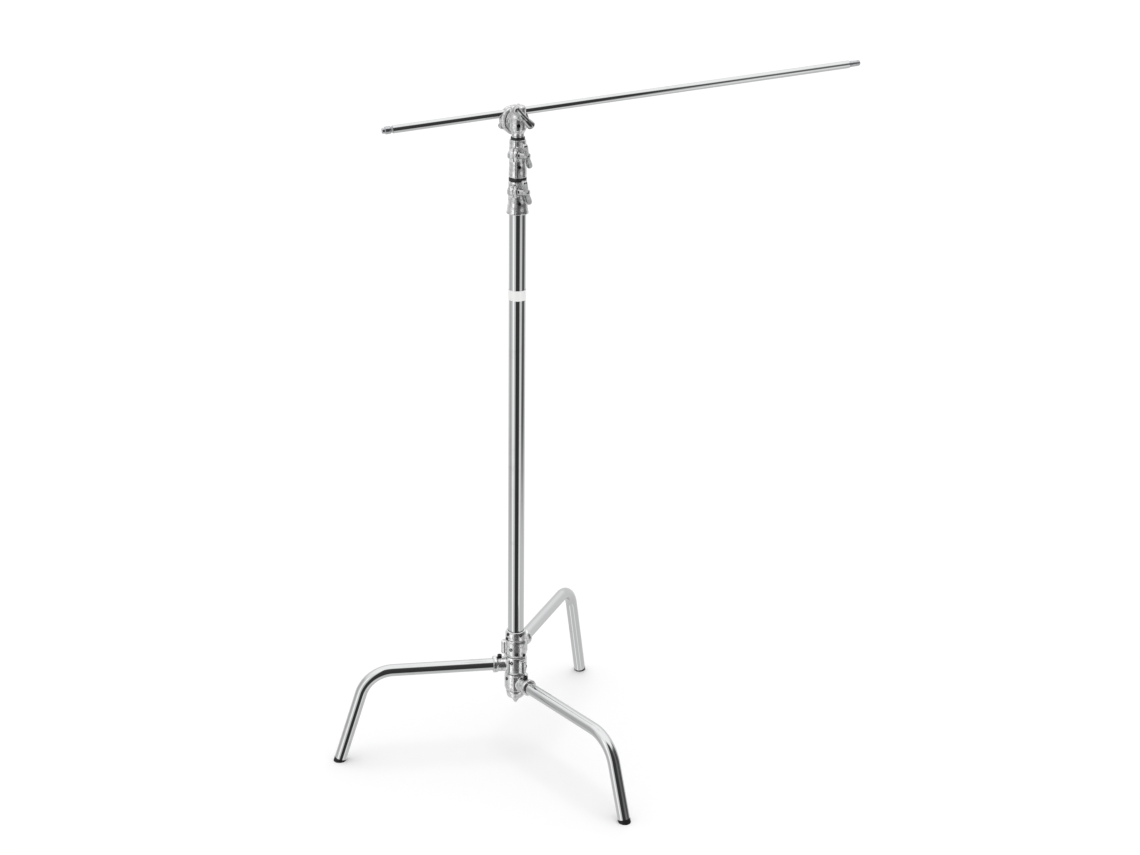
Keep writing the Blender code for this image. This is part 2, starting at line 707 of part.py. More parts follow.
def build_bolt(bolt):
    head_at, end = 17.7 * MM, jaw_faces()["handle"] + 13 * MM
    head_r, head_foot = 8.6 * MM, 12.6 * MM
    turned(
        "head_bolt",
        [
            (0, end),
            (BOLT_R - 1 * MM, end),
            (BOLT_R, end - 1 * MM),
            (BOLT_R, head_at),
            (head_r, head_at),
            (head_r, head_foot),
            (0, head_foot),
        ],
        "zinc_steel",
        bolt,
        sides=FINE,
    )


def build_jaws():
    at, jaw = jaw_faces(), jaw_frame()
    rim = 1.5 * MM
    inner_end, outer_end = ARM_Y - PLATE_GAP, at["outer"] + PLATE_THICK
    bore, well, well_depth = BOLT_R + 0.5 * MM, 7.4 * MM, 5 * MM
    inner = turned(
        "inner_plate",
        [
            (well, inner_end),
            (PLATE_R - rim, inner_end),
            (PLATE_R, inner_end - rim),
            (PLATE_R, at["inner"] + rim),
            (PLATE_R - rim, at["inner"]),
            (bore, at["inner"]),
            (bore, inner_end - well_depth),
            (well, inner_end - well_depth),
        ],
        "cast_chrome",
        jaw,
        ring=True,
    )
    outer = turned(
        "outer_plate",
        [
            (bore, outer_end),
            (PLATE_R - 9 * MM, outer_end),
            (PLATE_R, outer_end - 4 * MM),
            (PLATE_R, at["outer"] + rim),
            (PLATE_R - rim, at["outer"]),
            (well, at["outer"]),
            (well, at["outer"] + well_depth),
            (bore, at["outer"] + well_depth),
        ],
        "cast_chrome",
        jaw,
        ring=True,
    )
    cut(inner, *rod_cutters("inner"))
    cut(outer, *rod_cutters("outer"))
    spring_low, spring_high = inner_end - well_depth + GAP, at["outer"] + well_depth - 2 * GAP
    coil_spring("jaw_spring", 5.8 * MM, 0.4 * MM, spring_low, spring_high, 4, jaw)
    sleeve("thrust_washer", 15 * MM, bore, at["washer"], at["washer"] + 2 * MM, "zinc_steel", jaw, sides=20)
    sleeve("thrust_bearing", 12.5 * MM, bore, at["race"], at["race"] + 3 * MM, "zinc_steel", jaw, sides=20)
    main_handle(jaw, at["handle"])


def main_handle(jaw, foot):
    """The large T handle that closes the plates. Its hub is a nut on the bolt."""
    hub_r, reach = 10 * MM, foot + 11 * MM
    turned_end = foot + 18 * MM
    handle = turned(
        "head_handle",
        [
            (0, turned_end),
            (hub_r - 3 * MM, turned_end),
            (hub_r - 1 * MM, turned_end - 2.5 * MM),
            (hub_r, foot + 2 * MM),
            (hub_r, foot),
            (0, foot),
        ],
        "cast_chrome",
        jaw,
        sides=FINE,
    )
    bar_frame = jaw @ Matrix.Rotation(MAIN_BAR_TURN, 4, "Z") @ axes((0, 0, reach), (1, 0, 0), (0, 0, 1))
    side = [(0, 32.0), (3.5, 31.5), (6, 29.5), (7, 26.0), (7, 23.0), (5.8, 12.0)]
    upper = [(r * MM, h * MM) for r, h in side]
    lower = [(r * MM, -h * MM) for r, h in reversed(side)]
    bar = turned("head_handle_bar", upper + lower, matrix=bar_frame, sides=12)
    join(handle, bar)
    nut_bore = cylinder("head_nut_bore", BOLT_R + GAP, foot - 0.005, foot + 14 * MM, matrix=jaw)
    cut(handle, nut_bore)


# ---------------------------------------------------------------- arm


def build_arm():
    frame = arm_frame()
    left, right = -ARM_LEFT, ARM_LENGTH - ARM_LEFT
    rod_left, rod_right = left + ARM_PIN_LENGTH, right - ARM_TIP_LENGTH
    bore_r, depth = 5 * MM, 12 * MM
    turned(
        "arm_rod",
        [
            (0, rod_right - depth),
            (bore_r, rod_right - depth),
            (bore_r, rod_right),
            (ARM_R, rod_right),
            (ARM_R, rod_left),
            (bore_r, rod_left),
            (bore_r, rod_left + depth),
            (0, rod_left + depth),
        ],
        "chrome",
        frame,
    )
    stem = bore_r - GAP
    turned(
        "arm_end_pin",
        [
            (0, rod_left + depth - 1 * MM),
            (stem, rod_left + depth - 1 * MM),
            (stem, rod_left - GAP),
            (ARM_R - 0.8 * MM, rod_left - GAP),
            (ARM_R - 2.4 * MM, rod_left - 3 * MM),
            (ARM_R - 0.2 * MM, rod_left - 5 * MM),
            (ARM_R - 0.2 * MM, left + 7 * MM),
            (ARM_R - 2 * MM, left + 6 * MM),
            (ARM_R - 2.4 * MM, left + 1 * MM),
            (ARM_R - 3.4 * MM, left),
            (0, left),
        ],
        "zinc_steel",
        frame,
    )
    turned(
        "arm_tip",
        [
            (0, right),
            (ARM_R - 3.4 * MM, right),
            (ARM_R - 2 * MM, right - 2 * MM),
            (ARM_R - 1.6 * MM, rod_right + GAP),
            (stem, rod_right + GAP),
            (stem, rod_right - depth + 1 * MM),
            (0, rod_right - depth + 1 * MM),
        ],
        "zinc_steel",
        frame,
    )


# ---------------------------------------------------------------- the whole stand


def centre_over_origin():
    """Moves the stand so that the middle of its bounding box lies over the origin."""
    graph = bpy.context.evaluated_depsgraph_get()
    low, high = Vector((1e9,) * 3), Vector((-1e9,) * 3)
    for obj in PARTS.objects:
        if obj.type == "EMPTY":
            continue
        shown = obj.evaluated_get(graph)
        mesh = shown.to_mesh()
        for vertex in mesh.vertices:
            point = shown.matrix_world @ vertex.co
            low = Vector(map(min, low, point))
            high = Vector(map(max, high, point))
        shown.to_mesh_clear()
    STAND.location = (-(low.x + high.x) / 2, -(low.y + high.y) / 2, 0)
    print("column axis at", tuple(round(x, 6) for x in STAND.location))
    print("object from", tuple(low), "to", tuple(high))


build_legs()
build_hub()
build_column()
build_collars()
build_head()
build_arm()
centre_over_origin()
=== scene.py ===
# %% [markdown]
# # A century stand with a grip head and a grip arm
#
# A century stand is the steel stand that film crews hang lights and flags from. It has three bent legs
# that nest, a column with two telescoping risers, and a grip head on top that holds a long rod.
#
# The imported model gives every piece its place. This script builds what the eye sees around it: smooth
# chrome tubes, soft-edged castings, rubber feet, and the small screws, threads and teeth. It is laid out
# in cells, so that each can be read and tried on its own.

# %% Load the frame
import json
from math import cos, pi, radians, sin, tan

import bmesh
import bpy
from mathutils import Matrix, Vector


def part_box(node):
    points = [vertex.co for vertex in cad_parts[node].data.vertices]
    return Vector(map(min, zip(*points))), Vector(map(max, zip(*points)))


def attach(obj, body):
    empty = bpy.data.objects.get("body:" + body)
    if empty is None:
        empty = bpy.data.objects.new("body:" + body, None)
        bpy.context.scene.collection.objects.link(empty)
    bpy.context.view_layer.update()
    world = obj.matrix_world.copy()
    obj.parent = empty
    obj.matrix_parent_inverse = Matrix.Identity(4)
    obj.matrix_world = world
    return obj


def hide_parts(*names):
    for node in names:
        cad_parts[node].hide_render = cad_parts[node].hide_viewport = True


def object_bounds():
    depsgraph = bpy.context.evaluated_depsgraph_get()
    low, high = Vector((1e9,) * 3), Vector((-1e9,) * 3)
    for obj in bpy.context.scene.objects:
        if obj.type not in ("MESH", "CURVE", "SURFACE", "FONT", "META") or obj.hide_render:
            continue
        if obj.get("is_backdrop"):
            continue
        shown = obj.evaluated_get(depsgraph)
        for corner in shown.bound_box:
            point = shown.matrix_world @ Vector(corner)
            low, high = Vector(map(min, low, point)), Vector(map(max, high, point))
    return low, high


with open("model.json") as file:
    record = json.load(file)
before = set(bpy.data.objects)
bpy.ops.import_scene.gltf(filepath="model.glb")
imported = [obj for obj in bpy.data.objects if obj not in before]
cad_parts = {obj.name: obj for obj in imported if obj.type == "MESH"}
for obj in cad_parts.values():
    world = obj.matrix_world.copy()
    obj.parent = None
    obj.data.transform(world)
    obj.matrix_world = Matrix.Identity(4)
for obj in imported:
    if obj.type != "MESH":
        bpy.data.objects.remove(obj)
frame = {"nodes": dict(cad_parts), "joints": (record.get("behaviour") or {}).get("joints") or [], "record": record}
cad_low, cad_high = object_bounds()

MM = 0.001
GAP = 0.3 * MM
column_low, column_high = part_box("base_column")
AXIS = Vector(((column_low.x + column_high.x) / 2, (column_low.y + column_high.y) / 2, 0))
print("the frame has", len(frame["nodes"]), "nodes; the column stands at", tuple(round(v, 4) for v in AXIS))

# %% [markdown]
# ## The camera
#
# A long lens from above head height, as a tall stand is usually shown in a catalogue. A long lens keeps
# the column nearly straight. The camera is placed from the column, and turned by a heading, a tilt down
# and a slight roll. Building its axes from those three angles is plainer than three Euler angles, whose
# order is easy to get wrong.

# %% The camera
CAMERA_FROM_COLUMN = Vector((-0.8817, -3.7038, 2.2426))
CAMERA_HEADING, CAMERA_DOWN, CAMERA_ROLL = radians(15.09), radians(21.04), radians(0.85)
SENSOR_MM, LENS_MM = 36, 60.83


def make_camera():
    data = bpy.data.cameras.new("camera")
    data.sensor_width, data.lens = SENSOR_MM, LENS_MM
    camera = bpy.data.objects.new("camera", data)
    bpy.context.scene.collection.objects.link(camera)
    level = Vector((sin(CAMERA_HEADING), cos(CAMERA_HEADING), 0))
    forward = level * cos(CAMERA_DOWN) - Vector((0, 0, sin(CAMERA_DOWN)))
    right = Vector((cos(CAMERA_HEADING), -sin(CAMERA_HEADING), 0))
    over = right.cross(forward)
    x_axis = right * cos(CAMERA_ROLL) + over * sin(CAMERA_ROLL)
    y_axis = over * cos(CAMERA_ROLL) - right * sin(CAMERA_ROLL)
    turn = Matrix((x_axis, y_axis, -forward)).transposed().to_4x4()
    camera.matrix_world = Matrix.Translation(AXIS + CAMERA_FROM_COLUMN) @ turn
    bpy.context.scene.camera = camera
    print("camera", tuple(round(v, 3) for v in camera.location), "lens", round(data.lens, 1), "mm")


make_camera()

# %% [markdown]
# ## The studio
#
# Chrome has no colour of its own: it shows the room. A white room alone would make the tubes vanish, so
# a photographer stands dark flags beside the set, and each becomes a crisp dark line down the tube. The
# world here is such a room, white all round with a few tall dark flags in it.
#
# One flag is a node group, so that it is written once and used for each flag with its own place, width
# and height. The group works on the direction of the ray, turned into a bearing and a slope.

# %% Node helpers
def link_up(tree, source, target):
    tree.links.new(source, target)


def math_node(tree, operation, first, second=None, third=None):
    """A Math node. Each value is a socket to link or a number to set. Returns the output socket."""
    node = tree.nodes.new("ShaderNodeMath")
    node.operation = operation
    for socket, value in zip(node.inputs, (first, second, third)):
        if value is None:
            continue
        if isinstance(value, (int, float)):
            socket.default_value = value
        else:
            link_up(tree, value, socket)
    return node.outputs[0]


def smooth_step(tree, value, low, high):
    """0 where value is under low, 1 over high, and a soft curve between."""
    node = tree.nodes.new("ShaderNodeMapRange")
    node.interpolation_type = "SMOOTHERSTEP"
    for name, setting in (("Value", value), ("From Min", low), ("From Max", high)):
        if isinstance(setting, (int, float)):
            node.inputs[name].default_value = setting
        else:
            link_up(tree, setting, node.inputs[name])
    return node.outputs["Result"]


def shader_group(name, inputs, outputs):
    """A new shader node group with (name, kind, default) inputs and (name, kind) outputs."""
    group = bpy.data.node_groups.new(name, "ShaderNodeTree")
    for label, kind, default in inputs:
        socket = group.interface.new_socket(name=label, in_out="INPUT", socket_type="NodeSocket" + kind)
        if default is not None:
            socket.default_value = default
    for label, kind in outputs:
        group.interface.new_socket(name=label, in_out="OUTPUT", socket_type="NodeSocket" + kind)
    return group, group.nodes.new("NodeGroupInput").outputs, group.nodes.new("NodeGroupOutput").inputs

# %% [markdown]
# The flag's edges fade, because a real flag stands well away from the tube and its edge is never sharp in
# the reflection. The head fades the most, as a flag does against a lit ceiling.

# %% One flag
# how far each edge of a flag fades, in radians
FLAG_SOFT_SIDE, FLAG_SOFT_FOOT, FLAG_SOFT_HEAD = 0.10, 0.20, 0.35


def make_flag_group():
    """How much of a flag a ray meets: 1 on the flag, 0 beside it, soft at its edges."""
    inputs = [(n, "Float", None) for n in ("Bearing", "Slope")]
    inputs += [("Centre", "Float", 0.0), ("Half Width", "Float", 0.3)]
    inputs += [("Bottom", "Float", -0.8), ("Top", "Float", 0.2)]
    group, given, out = shader_group("studio_flag", inputs, [("Cover", "Float")])
    away = math_node(group, "SUBTRACT", given["Bearing"], given["Centre"])
    away = math_node(group, "WRAP", away, pi, -pi)
    away = math_node(group, "ABSOLUTE", away)
    edge = math_node(group, "SUBTRACT", given["Half Width"], FLAG_SOFT_SIDE)
    outer = math_node(group, "ADD", given["Half Width"], FLAG_SOFT_SIDE)
    beside = smooth_step(group, away, edge, outer)
    across = math_node(group, "SUBTRACT", 1.0, beside)
    foot_end = math_node(group, "ADD", given["Bottom"], FLAG_SOFT_FOOT)
    above_low = smooth_step(group, given["Slope"], given["Bottom"], foot_end)
    head_start = math_node(group, "SUBTRACT", given["Top"], FLAG_SOFT_HEAD)
    over = smooth_step(group, given["Slope"], head_start, given["Top"])
    tall = math_node(group, "MULTIPLY", above_low, math_node(group, "SUBTRACT", 1.0, over))
    link_up(group, math_node(group, "MULTIPLY", across, tall), out["Cover"])
    return group


FLAG_GROUP = make_flag_group()
print("flag group with inputs", [s.name for s in FLAG_GROUP.interface.items_tree if s.in_out == "INPUT"])

# %% [markdown]
# Bearings are counted from the camera's side of the column, positive to its right, and slopes
# from the horizon up. The widest flag is the dark room behind the camera. Below the horizon the chrome
# sees a pale grey floor, and beside the dark room two lit strips give each tube its bright lines. Only
# the chrome sees any of this: the room lights everything evenly, and the camera sees plain white.

# %% The world
# name: (bearing, half width, slope it starts at, slope it ends at), in degrees, and its darkness
FLAGS = {
    "behind_camera": (8, 27, -46, 66, 0.94),
    "dark_wall": (56, 24, -11, 52, 0.80),
    "right": (92, 24, -30, 46, 0.84),
    "left": (-98, 18, -34, 34, 0.30),
}
# the same, but these are lit, and the last number is how much brighter they are than the room
STRIPS = {
    "left_strip": (-50, 9, -75, 40, 0.62),
    "right_strip": (50, 7, -75, -8, 0.40),
}
TO_CAMERA = radians(-90) - CAMERA_HEADING
FLOOR_GREY, HORIZON_GREY, CEILING_WHITE = 0.72, 0.80, 1.25
ROOM_LIGHT = 0.92


def place_flags(tree, bearing, slope, rows):
    """The cover of each flag in the rows, and the strength beside its name."""
    for name, (centre, half, bottom, top, strength) in rows.items():
        flag = tree.nodes.new("ShaderNodeGroup")
        flag.node_tree = FLAG_GROUP
        flag.label = name
        link_up(tree, bearing, flag.inputs["Bearing"])
        link_up(tree, slope, flag.inputs["Slope"])
        for label, degrees in (("Centre", centre), ("Half Width", half), ("Bottom", bottom), ("Top", top)):
            flag.inputs[label].default_value = radians(degrees)
        yield math_node(tree, "MULTIPLY", flag.outputs["Cover"], strength)


def make_world():
    world = bpy.data.worlds.new("studio")
    bpy.context.scene.world = world
    world.use_nodes = True
    tree = world.node_tree
    tree.nodes.clear()
    ray = tree.nodes.new("ShaderNodeTexCoord").outputs["Generated"]
    split = tree.nodes.new("ShaderNodeSeparateXYZ")
    link_up(tree, ray, split.inputs[0])
    bearing = math_node(tree, "ARCTAN2", split.outputs["Y"], split.outputs["X"])
    bearing = math_node(tree, "SUBTRACT", bearing, TO_CAMERA)
    slope = math_node(tree, "ARCSINE", split.outputs["Z"])
    above = smooth_step(tree, slope, radians(-40), radians(-5))
    room = math_node(tree, "MULTIPLY_ADD", above, HORIZON_GREY - FLOOR_GREY, FLOOR_GREY)
    high = smooth_step(tree, slope, radians(5), radians(60))
    room = math_node(tree, "MULTIPLY_ADD", high, CEILING_WHITE - HORIZON_GREY, room)
    for lit in place_flags(tree, bearing, slope, STRIPS):
        room = math_node(tree, "ADD", room, lit)
    for shade in place_flags(tree, bearing, slope, FLAGS):
        room = math_node(tree, "MULTIPLY", room, math_node(tree, "SUBTRACT", 1.0, shade))
    kind = tree.nodes.new("ShaderNodeLightPath").outputs
    lights_only = math_node(tree, "SUBTRACT", 1.0, kind["Is Glossy Ray"])
    plain = math_node(tree, "MULTIPLY", lights_only, ROOM_LIGHT)
    seen_in_chrome = math_node(tree, "MULTIPLY", room, kind["Is Glossy Ray"])
    level = math_node(tree, "MAXIMUM", math_node(tree, "ADD", plain, seen_in_chrome), kind["Is Camera Ray"])
    background = tree.nodes.new("ShaderNodeBackground")
    link_up(tree, level, background.inputs["Color"])
    link_up(tree, background.outputs[0], tree.nodes.new("ShaderNodeOutputWorld").inputs["Surface"])
    print("world with flags", ", ".join(FLAGS), "and strips", ", ".join(STRIPS))


make_world()

# %% [markdown]
# The floor is one large white sheet and takes only soft shadows. A very wide light from straight above
# gives them. Neither shows in the chrome, where it would undo the room that was just built.

# %% Floor and light
FLOOR_HALF, FLOOR_PAINT = 12, 0.9


def make_floor():
    """A white floor for soft shadows. The chrome sees the lower half of the world instead of it."""
    shape = bmesh.new()
    bmesh.ops.create_grid(shape, x_segments=1, y_segments=1, size=FLOOR_HALF)
    mesh = bpy.data.meshes.new("floor")
    shape.to_mesh(mesh)
    shape.free()
    floor = bpy.data.objects.new("floor", mesh)
    bpy.context.scene.collection.objects.link(floor)
    floor.visible_glossy = False
    material = bpy.data.materials.new("floor_white")
    material.use_nodes = True
    shader = material.node_tree.nodes["Principled BSDF"]
    shader.inputs["Base Color"].default_value = (FLOOR_PAINT, FLOOR_PAINT, FLOOR_PAINT, 1)
    shader.inputs["Roughness"].default_value = 0.9
    shader.inputs["Specular IOR Level"].default_value = 0.0
    mesh.materials.append(material)
    floor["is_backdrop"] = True


def make_overhead_light():
    """A very wide, even light from above: its shadows are broad and only just seen."""
    data = bpy.data.lights.new("overhead", "SUN")
    data.energy = 0.75
    data.angle = radians(35)
    light = bpy.data.objects.new("overhead", data)
    bpy.context.scene.collection.objects.link(light)
    light.visible_glossy = False


make_floor()
make_overhead_light()
bpy.context.scene.view_settings.view_transform = "Standard"
print("a floor", 2 * FLOOR_HALF, "m wide, under one wide light")

# %% [markdown]
# ## Effects that several finishes share
#
# Real plating is never perfectly even. Hands leave faint smears on the tubes, a casting's skin shows fine grain
# under its chrome, and painted shade darkens the corners where two shapes meet. Each effect is a group that gives
# out a mask or a height, and each material decides what to do with it.

# %% A noise helper
def noise(tree, vector, scale, detail=3.0, roughness=0.5):
    node = tree.nodes.new("ShaderNodeTexNoise")
    link_up(tree, vector, node.inputs["Vector"])
    node.inputs["Detail"].default_value = detail
    node.inputs["Roughness"].default_value = roughness
    if isinstance(scale, (int, float)):
        node.inputs["Scale"].default_value = scale
    else:
        link_up(tree, scale, node.inputs["Scale"])
    return node.outputs["Fac"]

# %% [markdown]
# **Smears** are broad patches of noise broken up by smaller ones, and **grain** is two sizes of noise added
# together. Both read object coordinates, so they stay on the piece when a joint moves.

# %% Smears and grain
def make_smears():
    """Faint smears from handling: broad patches broken up by smaller ones."""
    inputs = [("Vector", "Vector", None), ("Scale", "Float", 18.0), ("Cover", "Float", 0.5)]
    group, given, out = shader_group("smears", inputs, [("Mask", "Float")])
    broad = noise(group, given["Vector"], given["Scale"], 4.0, 0.6)
    small = noise(group, given["Vector"], math_node(group, "MULTIPLY", given["Scale"], 6.3), 2.0)
    both = math_node(group, "MULTIPLY_ADD", small, 0.35, broad)
    start = math_node(group, "SUBTRACT", 1.15, given["Cover"])
    link_up(group, smooth_step(group, both, start, math_node(group, "ADD", start, 0.28)), out["Mask"])
    return group


def make_grain():
    """A fine-grained skin: a height for bump, and the same as a mask. Grain Size is in millimetres."""
    inputs = [("Vector", "Vector", None), ("Grain Size", "Float", 1.0)]
    group, given, out = shader_group("grain", inputs, [("Height", "Float"), ("Mask", "Float")])
    scale = math_node(group, "DIVIDE", 1.0, math_node(group, "MULTIPLY", given["Grain Size"], MM))
    fine = noise(group, given["Vector"], scale, 2.0)
    coarse = noise(group, given["Vector"], math_node(group, "MULTIPLY", scale, 0.27), 2.0)
    height = math_node(group, "MULTIPLY_ADD", coarse, 0.6, math_node(group, "MULTIPLY", fine, 0.4))
    link_up(group, height, out["Height"])
    link_up(group, smooth_step(group, height, 0.42, 0.62), out["Mask"])
    return group

# %% [markdown]
# The **crevice** mask finds corners from how much of the nearby space is closed off, and the castings use it to
# paint shade into them. **Draw lines** are noise squeezed along the tube's length, so that it forms rings round
# it.

# %% Crevice shade and draw lines
def make_painted_crevice_shade():
    """1 in the narrow places that a nearby surface closes off, 0 in the open: the mask for painted shade in
    corners.
    """
    group, given, out = shader_group("crevice", [("Reach", "Float", 6 * MM)], [("Mask", "Float")])
    shade = group.nodes.new("ShaderNodeAmbientOcclusion")
    shade.samples = 8
    link_up(group, given["Reach"], shade.inputs["Distance"])
    closed = math_node(group, "SUBTRACT", 1.0, shade.outputs["AO"])
    link_up(group, smooth_step(group, closed, 0.25, 0.85), out["Mask"])
    return group


def make_draw_lines():
    """Very fine lines round a drawn tube, from its polishing."""
    group, given, out = shader_group("draw_lines", [("Vector", "Vector", None)], [("Height", "Float")])
    stretch = group.nodes.new("ShaderNodeMapping")
    stretch.inputs["Scale"].default_value = (1.0, 1.0, 40.0)
    link_up(group, given["Vector"], stretch.inputs["Vector"])
    link_up(group, noise(group, stretch.outputs[0], 60.0, 2.0), out["Height"])
    return group


SMEARS, GRAIN, PAINTED_CREVICE_SHADE, DRAW_LINES = make_smears(), make_grain(), make_painted_crevice_shade(), make_draw_lines()
print("effect groups:", ", ".join(g.name for g in (SMEARS, GRAIN, PAINTED_CREVICE_SHADE, DRAW_LINES)))

# %% [markdown]
# ## The finishes
#
# Every finish starts from the same small class, which places the effect groups and joins them to one
# Principled shader. What never changes over a surface is set on the shader's own sockets.

# %% A finish builder
class Finish:
    """One material: a Principled shader and the groups that feed it."""

    def __init__(self, name, metallic, **settings):
        self.material = bpy.data.materials.new(name)
        self.material.use_nodes = True
        self.tree = self.material.node_tree
        self.shader = self.tree.nodes["Principled BSDF"]
        self.shader.inputs["Metallic"].default_value = metallic
        for socket, value in settings.items():
            self.shader.inputs[socket.replace("_", " ")].default_value = value
        self.place = self.tree.nodes.new("ShaderNodeTexCoord").outputs["Object"]

    def effect(self, group, output, **values):
        node = self.tree.nodes.new("ShaderNodeGroup")
        node.node_tree = group
        if "Vector" in node.inputs:
            link_up(self.tree, self.place, node.inputs["Vector"])
        for label, value in values.items():
            node.inputs[label.replace("_", " ")].default_value = value
        return node.outputs[output]

    def blend(self, mask, low, high):
        """A value that goes from low to high as the mask does."""
        node = self.tree.nodes.new("ShaderNodeMapRange")
        link_up(self.tree, mask, node.inputs["Value"])
        node.inputs["To Min"].default_value = low
        node.inputs["To Max"].default_value = high
        return node.outputs["Result"]

    def mix(self, mask, first, second):
        """A colour between two, each a colour or a socket."""
        node = self.tree.nodes.new("ShaderNodeMix")
        node.data_type = "RGBA"
        link_up(self.tree, mask, node.inputs["Factor"])
        for socket, value in ((node.inputs[6], first), (node.inputs[7], second)):
            if isinstance(value, tuple):
                socket.default_value = (*value, 1)
            else:
                link_up(self.tree, value, socket)
        return node.outputs[2]

    def feed(self, socket, value):
        link_up(self.tree, value, self.shader.inputs[socket])

    def bump(self, height, depth, strength=1.0):
        node = self.tree.nodes.new("ShaderNodeBump")
        node.inputs["Strength"].default_value = strength
        node.inputs["Distance"].default_value = depth
        link_up(self.tree, height, node.inputs["Height"])
        link_up(self.tree, node.outputs["Normal"], self.shader.inputs["Normal"])

# %% [markdown]
# Chrome on a drawn tube is close to a mirror. Its roughness stays very low, with smears that only just blur it.
# Chrome on a casting lies over a rougher skin, so it is brighter, softer and a little speckled, and its corners
# get painted shade, nearly black. The T handles are castings too, but hands rub them smooth, so they are closer to
# a mirror; their colour is also painted darker than the other castings', as shade, and their corners get painted
# shade too.

# %% The finishes
def tube_chrome():
    finish = Finish("tube_chrome", 1.0)
    smears = finish.effect(SMEARS, "Mask", Scale=14.0, Cover=0.45)
    finish.feed("Base Color", finish.mix(smears, (0.66, 0.665, 0.67), (0.61, 0.613, 0.616)))
    finish.feed("Roughness", finish.blend(smears, 0.045, 0.13))
    finish.bump(finish.effect(DRAW_LINES, "Height"), 0.012 * MM, 0.35)
    return finish.material


def cast_chrome():
    finish = Finish("cast_chrome", 1.0)
    # painted shade: the corners that the occlusion mask finds are coloured nearly black
    painted_shade = finish.effect(PAINTED_CREVICE_SHADE, "Mask", Reach=5 * MM)
    speckle = finish.effect(GRAIN, "Mask", Grain_Size=1.6)
    skin = finish.mix(speckle, (0.88, 0.882, 0.885), (0.58, 0.582, 0.585))
    finish.feed("Base Color", finish.mix(painted_shade, skin, (0.09, 0.088, 0.085)))
    finish.feed("Roughness", finish.blend(speckle, 0.24, 0.42))
    finish.bump(finish.effect(GRAIN, "Height", Grain_Size=2.2), 0.30 * MM, 0.8)
    return finish.material


def handle_chrome():
    finish = Finish("handle_chrome", 1.0)
    # painted shade: the corners are coloured nearly black, as on the other castings
    painted_shade = finish.effect(PAINTED_CREVICE_SHADE, "Mask", Reach=4 * MM)
    speckle = finish.effect(GRAIN, "Mask", Grain_Size=1.2)
    # painted shade: both colours are darker than the other castings' skin; the speckle between them is real grain
    skin = finish.mix(speckle, (0.56, 0.562, 0.565), (0.40, 0.402, 0.405))
    finish.feed("Base Color", finish.mix(painted_shade, skin, (0.07, 0.068, 0.066)))
    finish.feed("Roughness", finish.blend(speckle, 0.10, 0.22))
    finish.bump(finish.effect(GRAIN, "Height", Grain_Size=1.8), 0.15 * MM, 0.6)
    return finish.material

# %% [markdown]
# The small hardware is dull. Nuts and pins are zinc plated and worn in patches, screws are blacked, the
# bushes are moulded plastic, the feet are dusty rubber, and the label is a thin, slightly glossy film.

# %% Hardware, plastic and rubber
def zinc_steel():
    finish = Finish("zinc_steel", 1.0)
    worn = finish.effect(SMEARS, "Mask", Scale=90.0, Cover=0.55)
    finish.feed("Base Color", finish.mix(worn, (0.55, 0.56, 0.58), (0.40, 0.405, 0.41)))
    finish.feed("Roughness", finish.blend(worn, 0.22, 0.42))
    finish.bump(finish.effect(GRAIN, "Height", Grain_Size=0.5), 0.03 * MM)
    return finish.material


def black_oxide():
    finish = Finish("black_oxide", 0.7)
    worn = finish.effect(GRAIN, "Mask", Grain_Size=0.6)
    finish.feed("Base Color", finish.mix(worn, (0.018, 0.018, 0.02), (0.05, 0.05, 0.052)))
    finish.feed("Roughness", finish.blend(worn, 0.32, 0.5))
    return finish.material


def moulded_plastic():
    finish = Finish("moulded_plastic", 0.0, Specular_IOR_Level=0.45)
    skin = finish.effect(GRAIN, "Mask", Grain_Size=0.4)
    finish.feed("Base Color", finish.mix(skin, (0.012, 0.012, 0.013), (0.022, 0.022, 0.023)))
    finish.feed("Roughness", finish.blend(skin, 0.38, 0.52))
    finish.bump(finish.effect(GRAIN, "Height", Grain_Size=0.4), 0.03 * MM)
    return finish.material


def foot_rubber():
    finish = Finish("foot_rubber", 0.0, Specular_IOR_Level=0.3)
    dust = finish.effect(SMEARS, "Mask", Scale=120.0, Cover=0.42)
    finish.feed("Base Color", finish.mix(dust, (0.008, 0.008, 0.008), (0.035, 0.034, 0.032)))
    finish.feed("Roughness", finish.blend(dust, 0.55, 0.85))
    finish.bump(finish.effect(GRAIN, "Height", Grain_Size=0.7), 0.08 * MM)
    return finish.material


def label_film():
    finish = Finish("label_film", 0.0, Coat_Weight=0.3, Coat_Roughness=0.15)
    scuffs = finish.effect(SMEARS, "Mask", Scale=60.0, Cover=0.4)
    finish.feed("Base Color", finish.mix(scuffs, (0.86, 0.86, 0.85), (0.76, 0.755, 0.74)))
    finish.feed("Roughness", finish.blend(scuffs, 0.28, 0.5))
    return finish.material


FINISHES = {
    "chrome": tube_chrome(),
    "cast_chrome": cast_chrome(),
    "handle_chrome": handle_chrome(),
    "zinc_steel": zinc_steel(),
    "black_steel": black_oxide(),
    "black_plastic": moulded_plastic(),
    "black_rubber": foot_rubber(),
    "white_label": label_film(),
}
for part in frame["record"]["subparts"]:
    node = frame["nodes"][part["node"]]
    node.data.materials.clear()
    node.data.materials.append(FINISHES[part["material_slot"]])

# %% [markdown]
# ## Ways of making a shape
#
# Three ways make nearly every piece. A turned piece is a profile swept round an axis, as on a lathe,
# with its corners rounded first so that each edge catches the light. A bent tube is a ring moved along a
# path. A casting is several plain solids melted together by a voxel remesh, which fills the inside
# corners with soft fillets as a mould does, and then has its holes cut.

# %% Frames to build in
CORNER = radians(42)


